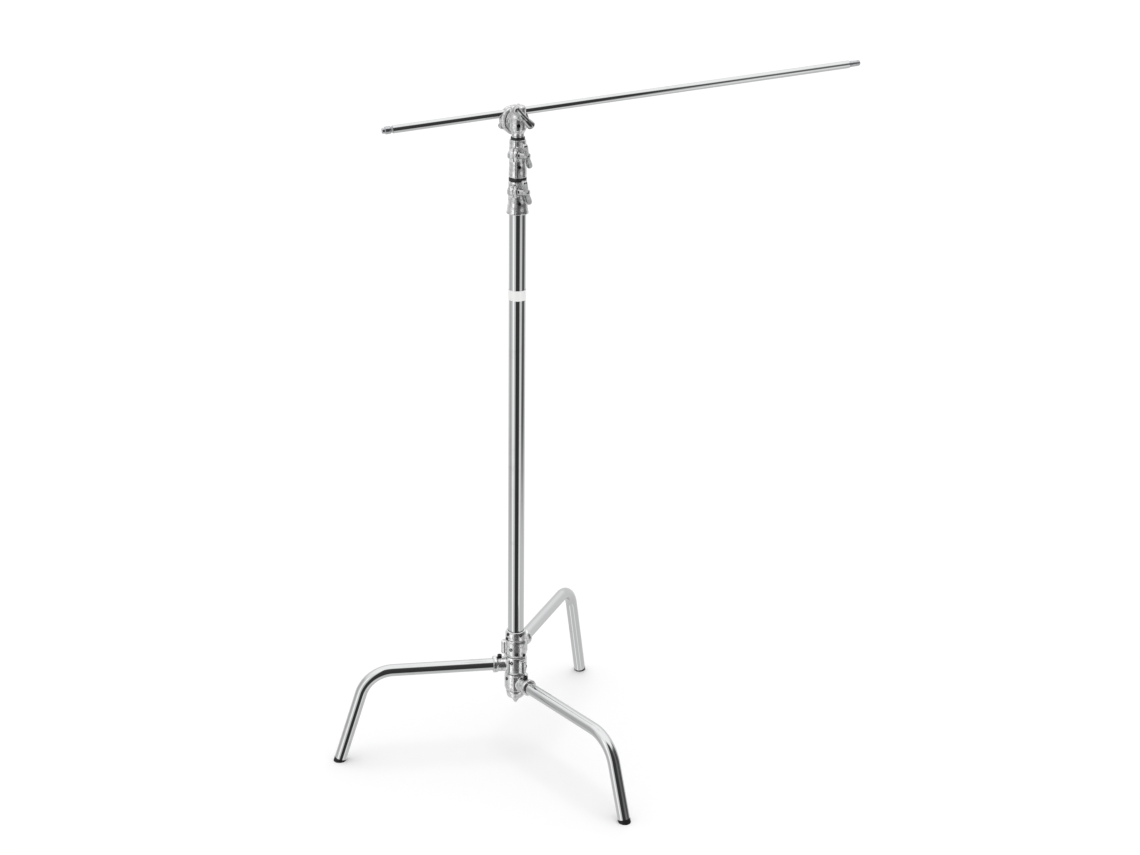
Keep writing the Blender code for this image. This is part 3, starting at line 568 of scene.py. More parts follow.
def axes(origin, z_axis, x_axis):
    """The matrix whose origin, Z and X are these. Y follows."""
    z_axis = Vector(z_axis).normalized()
    y_axis = z_axis.cross(Vector(x_axis)).normalized()
    turn = Matrix((y_axis.cross(z_axis), y_axis, z_axis)).transposed().to_4x4()
    return Matrix.Translation(origin) @ turn


def on_column(height=0.0, azimuth=0.0):
    """A frame on the column's axis, turned so that its X points along the azimuth, in radians."""
    return Matrix.Translation(AXIS + Vector((0, 0, height))) @ Matrix.Rotation(azimuth, 4, "Z")

# %% [markdown]
# A profile is rounded by replacing each corner with a short curve that starts a little before it. Turning
# it gives a ring of faces between every two points, and a point on the axis becomes a pole.

# %% Turned shapes
def rounded(points, radius, closed=False, steps=4):
    """The profile with each corner turned into a small curve that starts radius before the corner."""
    result, count = [], len(points)
    for i, point in enumerate(points):
        if not closed and i in (0, count - 1):
            result.append(Vector(point))
            continue
        corner = Vector(point)
        before, after = Vector(points[i - 1]) - corner, Vector(points[(i + 1) % count]) - corner
        back = min(radius, before.length * 0.45)
        ahead = min(radius, after.length * 0.45)
        start, end = corner + before.normalized() * back, corner + after.normalized() * ahead
        for k in range(steps + 1):
            t = k / steps
            result.append(start * (1 - t) ** 2 + corner * 2 * t * (1 - t) + end * t * t)
    return result


print("one rounded corner takes", len(rounded([(0, 0), (1, 0), (1, 1)], 0.2)) - 2, "points")


def add_turned(shape, points, matrix, sides=64, edge=0.5 * MM, ring=False):
    """Turns (radius, height) points about local Z. Points on the axis become poles; a ring is closed."""
    profile = rounded(points, edge, ring) if edge else [Vector(p) for p in points]
    rows = []
    for radius, height in profile:
        if radius < 1e-6:
            rows.append([shape.verts.new(matrix @ Vector((0, 0, height)))] * sides)
            continue
        angles = (2 * pi * k / sides for k in range(sides))
        ring_points = (Vector((radius * cos(a), radius * sin(a), height)) for a in angles)
        rows.append([shape.verts.new(matrix @ point) for point in ring_points])
    faces = []
    for first, second in zip(rows, rows[1:] + rows[:1] if ring else rows[1:]):
        for k in range(sides):
            corners = [first[k], first[(k + 1) % sides], second[(k + 1) % sides], second[k]]
            corners = list(dict.fromkeys(corners))
            if len(corners) > 2:
                faces.append(shape.faces.new(corners))
    bmesh.ops.recalc_face_normals(shape, faces=faces)


def add_rod(shape, radius, low, high, matrix, sides=48, edge=0.0):
    """A plain solid rod on local Z."""
    add_turned(shape, [(0, low), (radius, low), (radius, high), (0, high)], matrix, sides, edge)


def add_box(shape, low, high, matrix):
    low, high = Vector(low), Vector(high)
    place = matrix @ Matrix.Translation((low + high) / 2) @ Matrix.Diagonal((*(high - low), 1))
    bmesh.ops.create_cube(shape, size=1, matrix=place)

# %% [markdown]
# A bmesh becomes a mesh with smooth shading that stops at its real corners. A modifier is run by putting
# the mesh on a short-lived object and taking the evaluated result.

# %% Meshes and modifiers
def to_mesh(name, shape):
    """The mesh of a bmesh, smooth but for its real corners, so that no shading runs round them."""
    mesh = bpy.data.meshes.new(name)
    shape.to_mesh(mesh)
    shape.free()
    mesh.shade_smooth()
    mesh.set_sharp_from_angle(angle=CORNER)
    return mesh


def evaluated(obj):
    """The mesh that an object's modifiers give. The object itself is removed."""
    bpy.context.view_layer.update()
    mesh = bpy.data.meshes.new_from_object(obj.evaluated_get(bpy.context.evaluated_depsgraph_get()))
    bpy.data.objects.remove(obj)
    return mesh


def temporary(name, shape_or_mesh):
    mesh = shape_or_mesh if isinstance(shape_or_mesh, bpy.types.Mesh) else to_mesh(name, shape_or_mesh)
    obj = bpy.data.objects.new(name + "_work", mesh)
    bpy.context.scene.collection.objects.link(obj)
    return obj

# %% [markdown]
# Holes are cut with boolean modifiers. The exact solver is happiest with one plain cutter at a time, so
# the cutters are split into their loose parts first, in a fixed order.

# %% Cutting
def islands(mesh):
    """A mesh for each loose part. Cutters that cross each other have to be taken one at a time."""
    shape = bmesh.new()
    shape.from_mesh(mesh)
    taken, parts = set(), []
    for first in shape.verts:
        if first.index in taken:
            continue
        found, front = set(), [first]
        while front:
            vertex = front.pop()
            if vertex.index in found:
                continue
            found.add(vertex.index)
            front += [edge.other_vert(vertex) for edge in vertex.link_edges]
        taken |= found
        part = shape.copy()
        gone = [vertex for vertex in part.verts if vertex.index not in found]
        bmesh.ops.delete(part, geom=gone, context="VERTS")
        parts.append(to_mesh("island", part))
    shape.free()
    return parts


def cut_out(obj, holes):
    """Cuts each loose part of the holes out of obj, in turn. Returns the cutters, for removal later."""
    mesh = to_mesh("holes", holes)
    cutters = [temporary("cutter", part) for part in islands(mesh)]
    for cutter in cutters:
        modifier = obj.modifiers.new("cut", "BOOLEAN")
        modifier.operation = "DIFFERENCE"
        modifier.solver = "EXACT"
        modifier.object = cutter
    return cutters


def cut_mesh(obj, cutters):
    mesh = evaluated(obj)
    for cutter in cutters:
        bpy.data.objects.remove(cutter)
    mesh.shade_smooth()
    return mesh

# %% [markdown]
# A casting is melted, smoothed and only then cut. A machined piece is cut and nothing else.

# %% Castings and machined pieces
def melt(obj, voxel):
    remesh = obj.modifiers.new("melt", "REMESH")
    remesh.mode = "VOXEL"
    remesh.voxel_size = voxel
    remesh.use_smooth_shade = True


def cast(name, solids, holes, voxel=0.9 * MM, rounds=6):
    """Melts overlapping solids into one casting, softens it, then cuts its holes with crisp edges."""
    obj = temporary(name, solids)
    melt(obj, voxel)
    smooth = obj.modifiers.new("fettle", "SMOOTH")
    smooth.factor, smooth.iterations = 0.5, rounds
    mesh = cut_mesh(obj, cut_out(obj, holes))
    mesh.set_sharp_from_angle(angle=CORNER)
    return mesh


def carve(name, solid, holes, sharp=35):
    """Cuts holes with crisp edges, for a piece that is machined and not cast."""
    obj = temporary(name, solid)
    mesh = cut_mesh(obj, cut_out(obj, holes))
    mesh.set_sharp_from_angle(angle=radians(sharp))
    return mesh

# %% [markdown]
# Every finished piece goes through one function, which gives it its finish and its body and hides the parts of the
# imported model that it replaces.

# %% Placing a piece
def place(name, mesh, body, slot, replaces=(), finish=None):
    """Adds a finished piece, gives it its slot's finish or another, and lets it ride on its body."""
    if not isinstance(mesh, bpy.types.Mesh):
        mesh = to_mesh(name, mesh)
    mesh.name = name
    mesh.materials.clear()
    mesh.materials.append(FINISHES[finish or slot])
    piece = bpy.data.objects.new(name, mesh)
    bpy.context.scene.collection.objects.link(piece)
    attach(piece, body)
    if replaces:
        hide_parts(*replaces)
    print(f"{name}: {len(mesh.polygons)} faces on {body}")

# %% [markdown]
# ## The tubes
#
# The column and its risers are plain drawn tubes, one inside the next. Only their rims show, so each is
# a closed ring profile with rounded corners, turned with many sides, because a mirror shows every facet.

# %% Column and risers
WALL = 1.5 * MM


def radius_of(node):
    low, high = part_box(node)
    return (high.x - low.x) / 2


def upright_tube(name, node, body, slot, inner, edge):
    """A tube as tall and as wide as its node, with its own bore and rounded rims."""
    low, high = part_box(node)
    outer = radius_of(node)
    shape = bmesh.new()
    points = [(outer, high.z), (outer, low.z), (inner, low.z), (inner, high.z)]
    add_turned(shape, points, on_column(), 96, edge, ring=True)
    place(name, shape, body, slot, [node])


TUBES = [("column_tube", "base_column", "base"), ("lower_riser", "riser_1_tube", "riser_1")]
TUBES.append(("upper_riser", "riser_2_tube", "riser_2"))
for name, node, body in TUBES:
    upright_tube(name, node, body, "chrome", radius_of(node) - WALL, 0.4 * MM)

# %% [markdown]
# The label is a band of white film stuck round the column. It is left blank. A band with thickness and
# rounded edges catches a thin line of light along its rim, which a painted ring would not.

# %% Label band
upright_tube("blank_label", "column_label", "base", "white_label", radius_of("base_column") + GAP, 0.2 * MM)

# %% [markdown]
# ## The legs
#
# Each leg is one tube: level out of its socket, round a bend, then down and outwards to the floor. The
# three leave the column at different heights, so that they nest when the stand is folded. A ring of
# points is carried along the path, which keeps the tube round through the bend.

# %% Leg tubes
LEG_AZIMUTHS = {"low": radians(294), "mid": radians(174), "top": radians(54)}
LEG_BODIES = {"low": "base", "mid": "leg_mid", "top": "leg_top"}
LEG_HEIGHTS = {which: sum(p.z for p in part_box("leg_hub_" + which)) / 2 for which in LEG_AZIMUTHS}
LEG_R = 13.25 * MM
LEG_CORNER, LEG_LEAN, LEG_BEND_R, LEG_START = 0.327, radians(17.3), 75 * MM, 21 * MM
FOOT_SOLE = 7 * MM


def leg_path(height, arc=36):
    """Distance from the column, height and slope of the tube, at each stop along it."""
    bend = pi / 2 - LEG_LEAN
    back = LEG_BEND_R * tan(bend / 2)
    points = [(LEG_START, height, 0.0)]
    for i in range(arc + 1):
        angle = bend * i / arc
        across, down = LEG_BEND_R * sin(angle), LEG_BEND_R * (1 - cos(angle))
        points.append((LEG_CORNER - back + across, height - down, angle))
    points.append((LEG_CORNER + (height - FOOT_SOLE) * tan(LEG_LEAN), FOOT_SOLE, bend))
    return points


def leg_tube(which, sides=64):
    here = on_column(0, LEG_AZIMUTHS[which])
    rings = []
    shape = bmesh.new()
    path = leg_path(LEG_HEIGHTS[which])
    stops = [(path[0], LEG_R - WALL)] + [(stop, LEG_R) for stop in path] + [(path[-1], LEG_R - WALL)]
    for (distance, height, slope), radius in stops:
        ring = []
        for k in range(sides):
            around = 2 * pi * k / sides
            lift, side = radius * cos(around), radius * sin(around)
            point = Vector((distance + lift * sin(slope), side, height + lift * cos(slope)))
            ring.append(shape.verts.new(here @ point))
        rings.append(ring)
    for first, second in zip(rings, rings[1:]):
        for k in range(sides):
            shape.faces.new((first[k], first[(k + 1) % sides], second[(k + 1) % sides], second[k]))
    for ring in (rings[0], rings[-1]):
        shape.faces.new(ring)
    bmesh.ops.recalc_face_normals(shape, faces=shape.faces)
    place("leg_" + which, shape, LEG_BODIES[which], "chrome", ["leg_tube_" + which])


for which in LEG_AZIMUTHS:
    leg_tube(which)

# %% [markdown]
# ## Geometry Nodes for what repeats
#
# Screws, ridges, ribs and threads are one small shape, many times. A node tree makes each from named
# sizes, and the result is turned into a plain mesh, because the finished object keeps no live modifiers.

# %% Running a tree
def geometry_tree(name, sockets, takes_geometry=False):
    """A new tree and its input sockets. Each socket to make is (name, kind, default)."""
    tree = bpy.data.node_groups.new(name, "GeometryNodeTree")
    if takes_geometry:
        tree.interface.new_socket(name="Geometry", in_out="INPUT", socket_type="NodeSocketGeometry")
    for label, kind, default in sockets:
        socket = tree.interface.new_socket(name=label, in_out="INPUT", socket_type="NodeSocket" + kind)
        if default is not None:
            socket.default_value = default
    tree.interface.new_socket(name="Geometry", in_out="OUTPUT", socket_type="NodeSocketGeometry")
    given = tree.nodes.new("NodeGroupInput").outputs
    return tree, given


def add_node(tree, kind, **values):
    """A node by type. Keywords set inputs by name (underscores for spaces) or link sockets to them."""
    node = tree.nodes.new(kind)
    for label, value in values.items():
        socket = node.inputs[label.replace("_", " ")]
        if isinstance(value, bpy.types.NodeSocket):
            tree.links.new(value, socket)
        else:
            socket.default_value = value
    return node


def add_instances(tree, points, instance):
    return add_node(tree, "GeometryNodeInstanceOnPoints", Points=points, Instance=instance)


def add_moved(tree, geometry, offset):
    return add_node(tree, "GeometryNodeTransform", Geometry=geometry, Translation=offset)


def add_swept(tree, curve, section, **values):
    sources = {"Curve": curve.outputs[0], "Profile_Curve": section.outputs[0]}
    return add_node(tree, "GeometryNodeCurveToMesh", **sources, **values)


def end_tree(tree, geometry, given):
    """Every tree ends alike: real geometry, then its material."""
    real = add_node(tree, "GeometryNodeRealizeInstances", Geometry=geometry)
    dressed = add_node(tree, "GeometryNodeSetMaterial", Geometry=real.outputs[0], Material=given["Material"])
    tree.links.new(dressed.outputs[0], tree.nodes.new("NodeGroupOutput").inputs[0])
    return tree

# %% [markdown]
# `node_mesh` runs any of the trees. It sets the inputs by their identifiers, before the object is first
# evaluated, and returns the mesh.

# %% Trees to meshes
def node_mesh(tree, slot, base=None, **values):
    """The plain mesh that a tree makes, from a base mesh where the tree takes one."""
    obj = temporary(tree.name, base or bmesh.new())
    modifier = obj.modifiers.new(tree.name, "NODES")
    modifier.node_group = tree
    sizes = {label.replace("_", " "): value for label, value in values.items()}
    sizes["Material"] = FINISHES[slot]
    for socket in tree.interface.items_tree:
        if socket.in_out == "INPUT" and socket.name in sizes:
            modifier[socket.identifier] = sizes[socket.name]
    return evaluated(obj)


def moved(mesh, matrix):
    mesh.transform(matrix)
    return mesh


def joined(name, *meshes):
    """One mesh of several."""
    shape = bmesh.new()
    for mesh in meshes:
        shape.from_mesh(mesh)
    return to_mesh(name, shape)

# %% [markdown]
# **Ridges** stand round a circle: the grip of a plate's rim, or the rollers of a race. One bar is
# instanced on each point of the circle and turned by its index.

# %% Ridges
def ridge_tree():
    sizes = [("Count", "Int", 48), ("Radius", "Float", 30 * MM), ("Width", "Float", MM)]
    sizes += [("Height", "Float", MM), ("Length", "Float", 8 * MM), ("Lift", "Float", 0.0)]
    sizes += [("Material", "Material", None)]
    tree, given = geometry_tree("ridges", sizes)
    circle = add_node(tree, "GeometryNodeMeshCircle", Vertices=given["Count"], Radius=given["Radius"])
    size = add_node(tree, "ShaderNodeCombineXYZ", X=given["Height"], Y=given["Width"], Z=given["Length"])
    bar = add_node(tree, "GeometryNodeMeshCube", Size=size.outputs[0])
    step = math_node(tree, "DIVIDE", 2 * pi, given["Count"])
    turn = math_node(tree, "MULTIPLY", tree.nodes.new("GeometryNodeInputIndex").outputs[0], step)
    angles = add_node(tree, "ShaderNodeCombineXYZ", Z=turn)
    spread = add_instances(tree, circle.outputs["Mesh"], bar.outputs["Mesh"])
    tree.links.new(angles.outputs[0], spread.inputs["Rotation"])
    offset = add_node(tree, "ShaderNodeCombineXYZ", Z=given["Lift"])
    lifted = add_moved(tree, spread.outputs[0], offset.outputs[0])
    return end_tree(tree, lifted.outputs[0], given)

# %% [markdown]
# **Cap screws** sit on points that carry the direction they face. The hexagon for the key is cut out of
# the head before it is instanced, so the cut is made once for all of them.

# %% Cap screws
def screw_tree():
    sizes = [("Head Radius", "Float", 4 * MM), ("Head Height", "Float", 4 * MM)]
    sizes += [("Key Radius", "Float", 2 * MM), ("Material", "Material", None)]
    tree, given = geometry_tree("cap_screws", sizes, takes_geometry=True)
    height = given["Head Height"]
    head = add_node(tree, "GeometryNodeMeshCylinder", Vertices=20, Radius=given["Head Radius"], Depth=height)
    key = add_node(tree, "GeometryNodeMeshCylinder", Vertices=6, Radius=given["Key Radius"], Depth=height)
    rise = add_node(tree, "ShaderNodeCombineXYZ", Z=math_node(tree, "MULTIPLY", height, 0.5))
    key_up = add_moved(tree, key.outputs["Mesh"], rise.outputs[0])
    drilled = tree.nodes.new("GeometryNodeMeshBoolean")
    drilled.operation = "DIFFERENCE"
    tree.links.new(head.outputs["Mesh"], drilled.inputs[0])
    tree.links.new(key_up.outputs[0], drilled.inputs[1])
    facing = tree.nodes.new("GeometryNodeInputNamedAttribute")
    facing.data_type = "FLOAT_VECTOR"
    facing.inputs["Name"].default_value = "facing"
    aim = tree.nodes.new("FunctionNodeAlignRotationToVector")
    tree.links.new(facing.outputs["Attribute"], aim.inputs["Vector"])
    spread = add_instances(tree, given["Geometry"], drilled.outputs["Mesh"])
    tree.links.new(aim.outputs[0], spread.inputs["Rotation"])
    return end_tree(tree, spread.outputs[0], given)

# %% [markdown]
# A **thread** is a three-sided wire wound on a spiral, and **ribs** are rings stacked along an axis. Both
# are a small section swept along a curve.

# %% Threads and ribs
def thread_tree():
    sizes = [("Turns", "Float", 6.0), ("Radius", "Float", 4 * MM), ("Length", "Float", 6 * MM)]
    sizes += [("Depth", "Float", 0.5 * MM), ("Material", "Material", None)]
    tree, given = geometry_tree("thread", sizes)
    spiral = add_node(
        tree, "GeometryNodeCurveSpiral", Resolution=20, Rotations=given["Turns"], Height=given["Length"],
        Start_Radius=given["Radius"], End_Radius=given["Radius"],
    )
    wire = add_node(tree, "GeometryNodeCurvePrimitiveCircle", Resolution=3, Radius=given["Depth"])
    swept = add_swept(tree, spiral, wire, Fill_Caps=True)
    return end_tree(tree, swept.outputs[0], given)


def rib_tree():
    sizes = [("Count", "Int", 3), ("Radius", "Float", 14 * MM), ("Spacing", "Float", 3 * MM)]
    sizes += [("Thickness", "Float", 0.5 * MM), ("Material", "Material", None)]
    tree, given = geometry_tree("ribs", sizes)
    loop = add_node(tree, "GeometryNodeCurvePrimitiveCircle", Resolution=48, Radius=given["Radius"])
    section = add_node(tree, "GeometryNodeCurvePrimitiveCircle", Resolution=6, Radius=given["Thickness"])
    rib = add_swept(tree, loop, section)
    step = add_node(tree, "ShaderNodeCombineXYZ", Z=given["Spacing"])
    row = add_node(tree, "GeometryNodeMeshLine", Count=given["Count"], Offset=step.outputs[0])
    spread = add_instances(tree, row.outputs["Mesh"], rib.outputs["Mesh"])
    return end_tree(tree, spread.outputs[0], given)


RIDGES, CAP_SCREWS, THREAD, RIBS = ridge_tree(), screw_tree(), thread_tree(), rib_tree()
print("geometry trees:", ", ".join(tree.name for tree in (RIDGES, CAP_SCREWS, THREAD, RIBS)))

# %% [markdown]
# The screws are used in many places, so they get a function of their own. It gives each point its
# direction as a named attribute, which the tree reads.

# %% Screws on points
def facing_points(places):
    """A mesh of bare points, each with the direction that its screw faces."""
    mesh = bpy.data.meshes.new("screw_points")
    mesh.from_pydata([p for p, _ in places], [], [])
    facing = mesh.attributes.new("facing", "FLOAT_VECTOR", "POINT")
    for item, (_, direction) in zip(facing.data, places):
        item.vector = direction
    return mesh


def screws(name, body, places, head, height, key, replaces=()):
    """Black cap screws at (point, direction) places: their head's radius and height, and the key's radius."""
    sizes = {"Head_Radius": head, "Head_Height": height, "Key_Radius": key}
    mesh = node_mesh(CAP_SCREWS, "black_steel", facing_points(places), **sizes)
    mesh.shade_smooth()
    mesh.set_sharp_from_angle(angle=radians(30))
    place(name, mesh, body, "black_steel", replaces)

# %% [markdown]
# ## The leg hubs
#
# Each leg is held by a casting that turns on the spindle: a barrel, a socket with a thick mouth, a web
# under the socket, and a round lug that stops it against its neighbour. The lowest is fixed to the
# column's spindle. Melting the solids gives the soft corners of a casting. The bore for the leg is cut a
# little wider than the tube, so a thin dark line shows at the mouth as it does on the real piece.

# %% Leg hubs
HUB_R, HUB_BORE_R = 24.5 * MM, 13.6 * MM
SOCKET_R, SOCKET_FLANGE_R, SOCKET_END = 16.5 * MM, 18.5 * MM, 51 * MM
HUB_HALF = (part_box("leg_hub_mid")[1].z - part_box("leg_hub_mid")[0].z) / 2


def leg_hub(which):
    here = on_column(LEG_HEIGHTS[which], LEG_AZIMUTHS[which])
    outwards = here @ axes((0, 0, 0), (1, 0, 0), (0, 0, 1))
    solids, holes = bmesh.new(), bmesh.new()
    half, waist = HUB_HALF, HUB_R - 2.5 * MM
    barrel = [(0, half), (waist, half), (HUB_R, half - 6 * MM)]
    barrel += [(r, -h) for r, h in reversed(barrel)]
    add_turned(solids, barrel, here, 64, 1.5 * MM)
    mouth = SOCKET_END - 8 * MM
    socket = [(0, SOCKET_END), (SOCKET_FLANGE_R, SOCKET_END), (SOCKET_FLANGE_R, mouth)]
    socket += [(SOCKET_R, mouth - 3 * MM), (SOCKET_R, 12 * MM), (0, 12 * MM)]
    add_turned(solids, socket, outwards, 48, 1 * MM)
    lug = here @ Matrix.Rotation(radians(120), 4, "Z") @ Matrix.Translation((HUB_R, 0, 0))
    add_rod(solids, 8 * MM, -half * 0.7, half - 5 * MM, lug, 32, 3 * MM)
    add_box(solids, (10 * MM, -3 * MM, -half + 3 * MM), (SOCKET_END - 8 * MM, 3 * MM, 0), here)
    for side in (-1, 1):
        cheek = here @ Matrix.Rotation(radians(38 * side), 4, "Z")
        add_box(solids, (12 * MM, -5 * MM, -half + 4 * MM), (HUB_R + 3 * MM, 5 * MM, half - 4 * MM), cheek)
    add_rod(holes, LEG_R + 0.6 * MM, LEG_START - 1 * MM, SOCKET_END + 5 * MM, outwards, 64)
    add_rod(holes, HUB_BORE_R, -50 * MM, 50 * MM, here, 64)
    mesh = cast("hub_casting_" + which, solids, holes)
    place("hub_casting_" + which, mesh, LEG_BODIES[which], "cast_chrome", ["leg_hub_" + which])


for which in LEG_AZIMUTHS:
    leg_hub(which)

# %% [markdown]
# The hub's black screws are all the same: one on top of each socket, and a few through the barrels and
# the collar above them. Bearings are counted from the camera's side, as for the flags.

# %% Hub screws
# (bearing in degrees, height in metres, radius of the casting there in millimetres)
HUB_SCREWS = {
    "base": [
        (31, 0.2945, 22.6), (-47, 0.2945, 22.6), (-56, 0.2830, 22.6),
        (-52, 0.1850, 23.8), (150, 0.2900, 22.6),
    ],
    "leg_mid": [(70, 0.2130, 24.2), (-20, 0.2270, 24.2)],
    "leg_top": [(50, 0.2440, 24.2), (-24, 0.2600, 24.2), (7, 0.2490, 24.2)],
}
SCREW_SINKS = 0.4 * MM


def outwards_at(azimuth):
    return Vector((cos(azimuth), sin(azimuth), 0))


def socket_screw(which):
    """The place of the screw on top of a leg's socket."""
    low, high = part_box("leg_bolt_" + which)
    middle = (low + high) / 2
    return Vector((middle.x, middle.y, high.z - 2.2 * MM)), Vector((0, 0, 1))


for body, rows in HUB_SCREWS.items():
    places = []
    for bearing, height, radius in rows:
        out = outwards_at(TO_CAMERA + radians(bearing))
        places.append((AXIS + out * (radius * MM - SCREW_SINKS) + Vector((0, 0, height)), out))
    screws("barrel_screws_" + body, body, places, 3.6 * MM, 3.6 * MM, 1.9 * MM)
for which, body in LEG_BODIES.items():
    place_and_way = [socket_screw(which)]
    screws("socket_screw_" + which, body, place_and_way, 5 * MM, 5 * MM, 2.6 * MM, ["leg_bolt_" + which])

# %% [markdown]
# Below the hubs a pointed nose closes the spindle, and above them a collar takes the foot of the column.
# Both are turned pieces with a generous radius on every edge.

# %% Nose and collar
def hub_nose():
    tip, top = (corner.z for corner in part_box("hub_nose"))
    shape = bmesh.new()
    bore = 13.3 * MM
    points = [(0, tip), (2.2 * MM, tip + 0.6 * MM), (7 * MM, tip + 9 * MM), (9 * MM, tip + 15 * MM)]
    points += [(18.5 * MM, tip + 19 * MM), (21 * MM, top - 5 * MM), (21 * MM, top), (bore, top)]
    points += [(bore, tip + 20 * MM - GAP), (0, tip + 20 * MM - GAP)]
    add_turned(shape, points, on_column(), 64, 1.2 * MM)
    place("nose_casting", shape, "base", "cast_chrome", ["hub_nose"])


def hub_collar():
    low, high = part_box("hub_collar")
    solids, holes = bmesh.new(), bmesh.new()
    outer, tube = 23 * MM, radius_of("base_column")
    body = [(0, high.z), (20.4 * MM, high.z), (outer, high.z - 6 * MM), (outer, low.z), (0, low.z)]
    add_turned(solids, body, on_column(), 64, 1.2 * MM)
    add_rod(holes, tube + 0.6 * MM, column_low.z - GAP, high.z + 10 * MM, on_column(), 64)
    add_rod(holes, HUB_BORE_R, low.z - 10 * MM, high.z, on_column(), 64)
    mesh = cast("collar_casting", solids, holes)
    place("collar_casting", mesh, "base", "cast_chrome", ["hub_collar"])


hub_nose()
hub_collar()

# %% [markdown]
# ## The feet
#
# A foot is a rubber sole no wider than the tube, held by a plug that is pushed up inside it. Its
# underside is cut level, because the leg leans. A few fine ribs round its edge, made by the rib tree,
# keep it from looking like a plain black disc.

# %% Rubber feet
FOOT_R, FOOT_PLUG_R, FOOT_PLUG = 13.6 * MM, 11 * MM, 14 * MM


def foot(which):
    distance, height, _ = leg_path(LEG_HEIGHTS[which])[-1]
    here = on_column(0, LEG_AZIMUTHS[which])
    upwards = Vector((-sin(LEG_LEAN), 0, cos(LEG_LEAN)))
    sole_frame = here @ axes((distance, 0, height), upwards, (1, 0, 0))
    shape = bmesh.new()
    body_r = FOOT_R - 0.25 * MM
    points = [(0, FOOT_PLUG), (FOOT_PLUG_R - MM, FOOT_PLUG), (FOOT_PLUG_R, FOOT_PLUG - 2 * MM)]
    points += [(FOOT_PLUG_R, -GAP), (body_r, -GAP), (body_r, -14 * MM), (0, -14 * MM)]
    add_turned(shape, points, sole_frame, 64, 0.5 * MM)
    whole = shape.verts[:] + shape.edges[:] + shape.faces[:]
    floor = {"plane_co": (0, 0, 0), "plane_no": (0, 0, -1)}
    level = bmesh.ops.bisect_plane(shape, geom=whole, clear_outer=True, **floor)
    edges = [item for item in level["geom_cut"] if isinstance(item, bmesh.types.BMEdge)]
    bmesh.ops.holes_fill(shape, edges=edges)
    bmesh.ops.recalc_face_normals(shape, faces=shape.faces)
    sole = to_mesh("sole", shape)
    ribs = node_mesh(RIBS, "black_rubber", Count=2, Radius=body_r, Spacing=1.3 * MM, Thickness=0.25 * MM)
    moved(ribs, sole_frame @ Matrix.Translation((0, 0, -2.2 * MM)))
    mesh = joined("foot", sole, ribs)
    mesh.set_sharp_from_angle(angle=radians(50))
    place("rubber_foot_" + which, mesh, LEG_BODIES[which], "black_rubber", ["foot_pad_" + which])


for which in LEG_AZIMUTHS:
    foot(which)

# %% [markdown]
# ## The collar clamps
#
# A collar is a casting on the top of a tube. It is slit down one side, and two ears beside the slit are
# pulled together by a stud with a T handle. The lower one flares out at its foot. The slit and the bores
# are cut after the melt, so their edges stay as crisp as a saw and a drill leave them. The slit comes
# first, because the casting is still whole and thick there.

# %% Clamp places
STUD_AZIMUTH = radians(-29)
EAR_AZIMUTH = STUD_AZIMUTH - pi / 2
EAR_HALF_WIDTH = 7 * MM


def joint_place(name):
    """Where a joint of the frame is, and its direction."""
    joint = next(j for j in frame["joints"] if j["name"] == name)
    return Vector(joint["pos_m"]), Vector(joint["axis"]).normalized()


def stud_frame(joint):
    """Local Z along a stud towards its handle, local X up."""
    origin, along = joint_place(joint)
    return axes(origin, along, (0, 0, 1))


CLAMPS = {
    "lower": ("base", stud_frame("lower_handle_turn"), 12 * MM),
    "upper": ("riser_1", stud_frame("upper_handle_turn"), 14 * MM),
}

# %% [markdown]
# The collar's body is a turned profile, its ears are a box across the slit with a round boss on each
# side, and a counterbore takes the small screw that holds its bush.

# %% Collar castings
SLIT_HALF = 0.6 * MM


def collar(which, outline, bush_bore, tube_node):
    body, stud, ear_height = CLAMPS[which]
    low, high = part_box(which + "_collar")
    tube_r, tube_top = radius_of(tube_node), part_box(tube_node)[1].z
    solids, holes = bmesh.new(), bmesh.new()
    profile = [(0, high.z)] + [(r * MM, low.z + z * MM) for r, z in outline] + [(0, low.z)]
    add_turned(solids, profile, on_column(), 64, 1 * MM)
    reach = (stud.translation - AXIS).xy.length + 9 * MM
    ears = on_column(stud.translation.z, EAR_AZIMUTH)
    half = EAR_HALF_WIDTH
    add_box(solids, (8 * MM, -half, -ear_height), (reach - 4 * MM, half, ear_height), ears)
    for side in (-1, 1):
        face = stud @ Matrix.Translation((0, 0, side * half / 2))
        add_rod(solids, 9 * MM, -half / 2, half / 2, face, 32, 1 * MM)
    add_box(holes, (10 * MM, -SLIT_HALF, -100 * MM), (reach + 10 * MM, SLIT_HALF, 100 * MM), ears)
    add_rod(holes, tube_r + 0.35 * MM, low.z - 20 * MM, tube_top + GAP, on_column(), 64)
    add_rod(holes, bush_bore, tube_top - 5 * MM, high.z + 20 * MM, on_column(), 64)
    add_rod(holes, 4.8 * MM, -30 * MM, 30 * MM, stud, 24)
    add_rod(holes, 3.7 * MM, -2 * MM, 20 * MM, screw_place(low, tube_r), 24)
    mesh = cast(which + "_collar_casting", solids, holes, 0.8 * MM)
    place(which + "_collar_casting", mesh, body, "cast_chrome", [which + "_collar"])


def screw_place(low, tube_r):
    """Local Z out of the collar through its bush screw."""
    out = outwards_at(STUD_AZIMUTH - radians(64))
    return axes(AXIS + out * (tube_r + 0.5 * MM) + Vector((0, 0, low.z + 23.5 * MM)), out, (0, 0, 1))


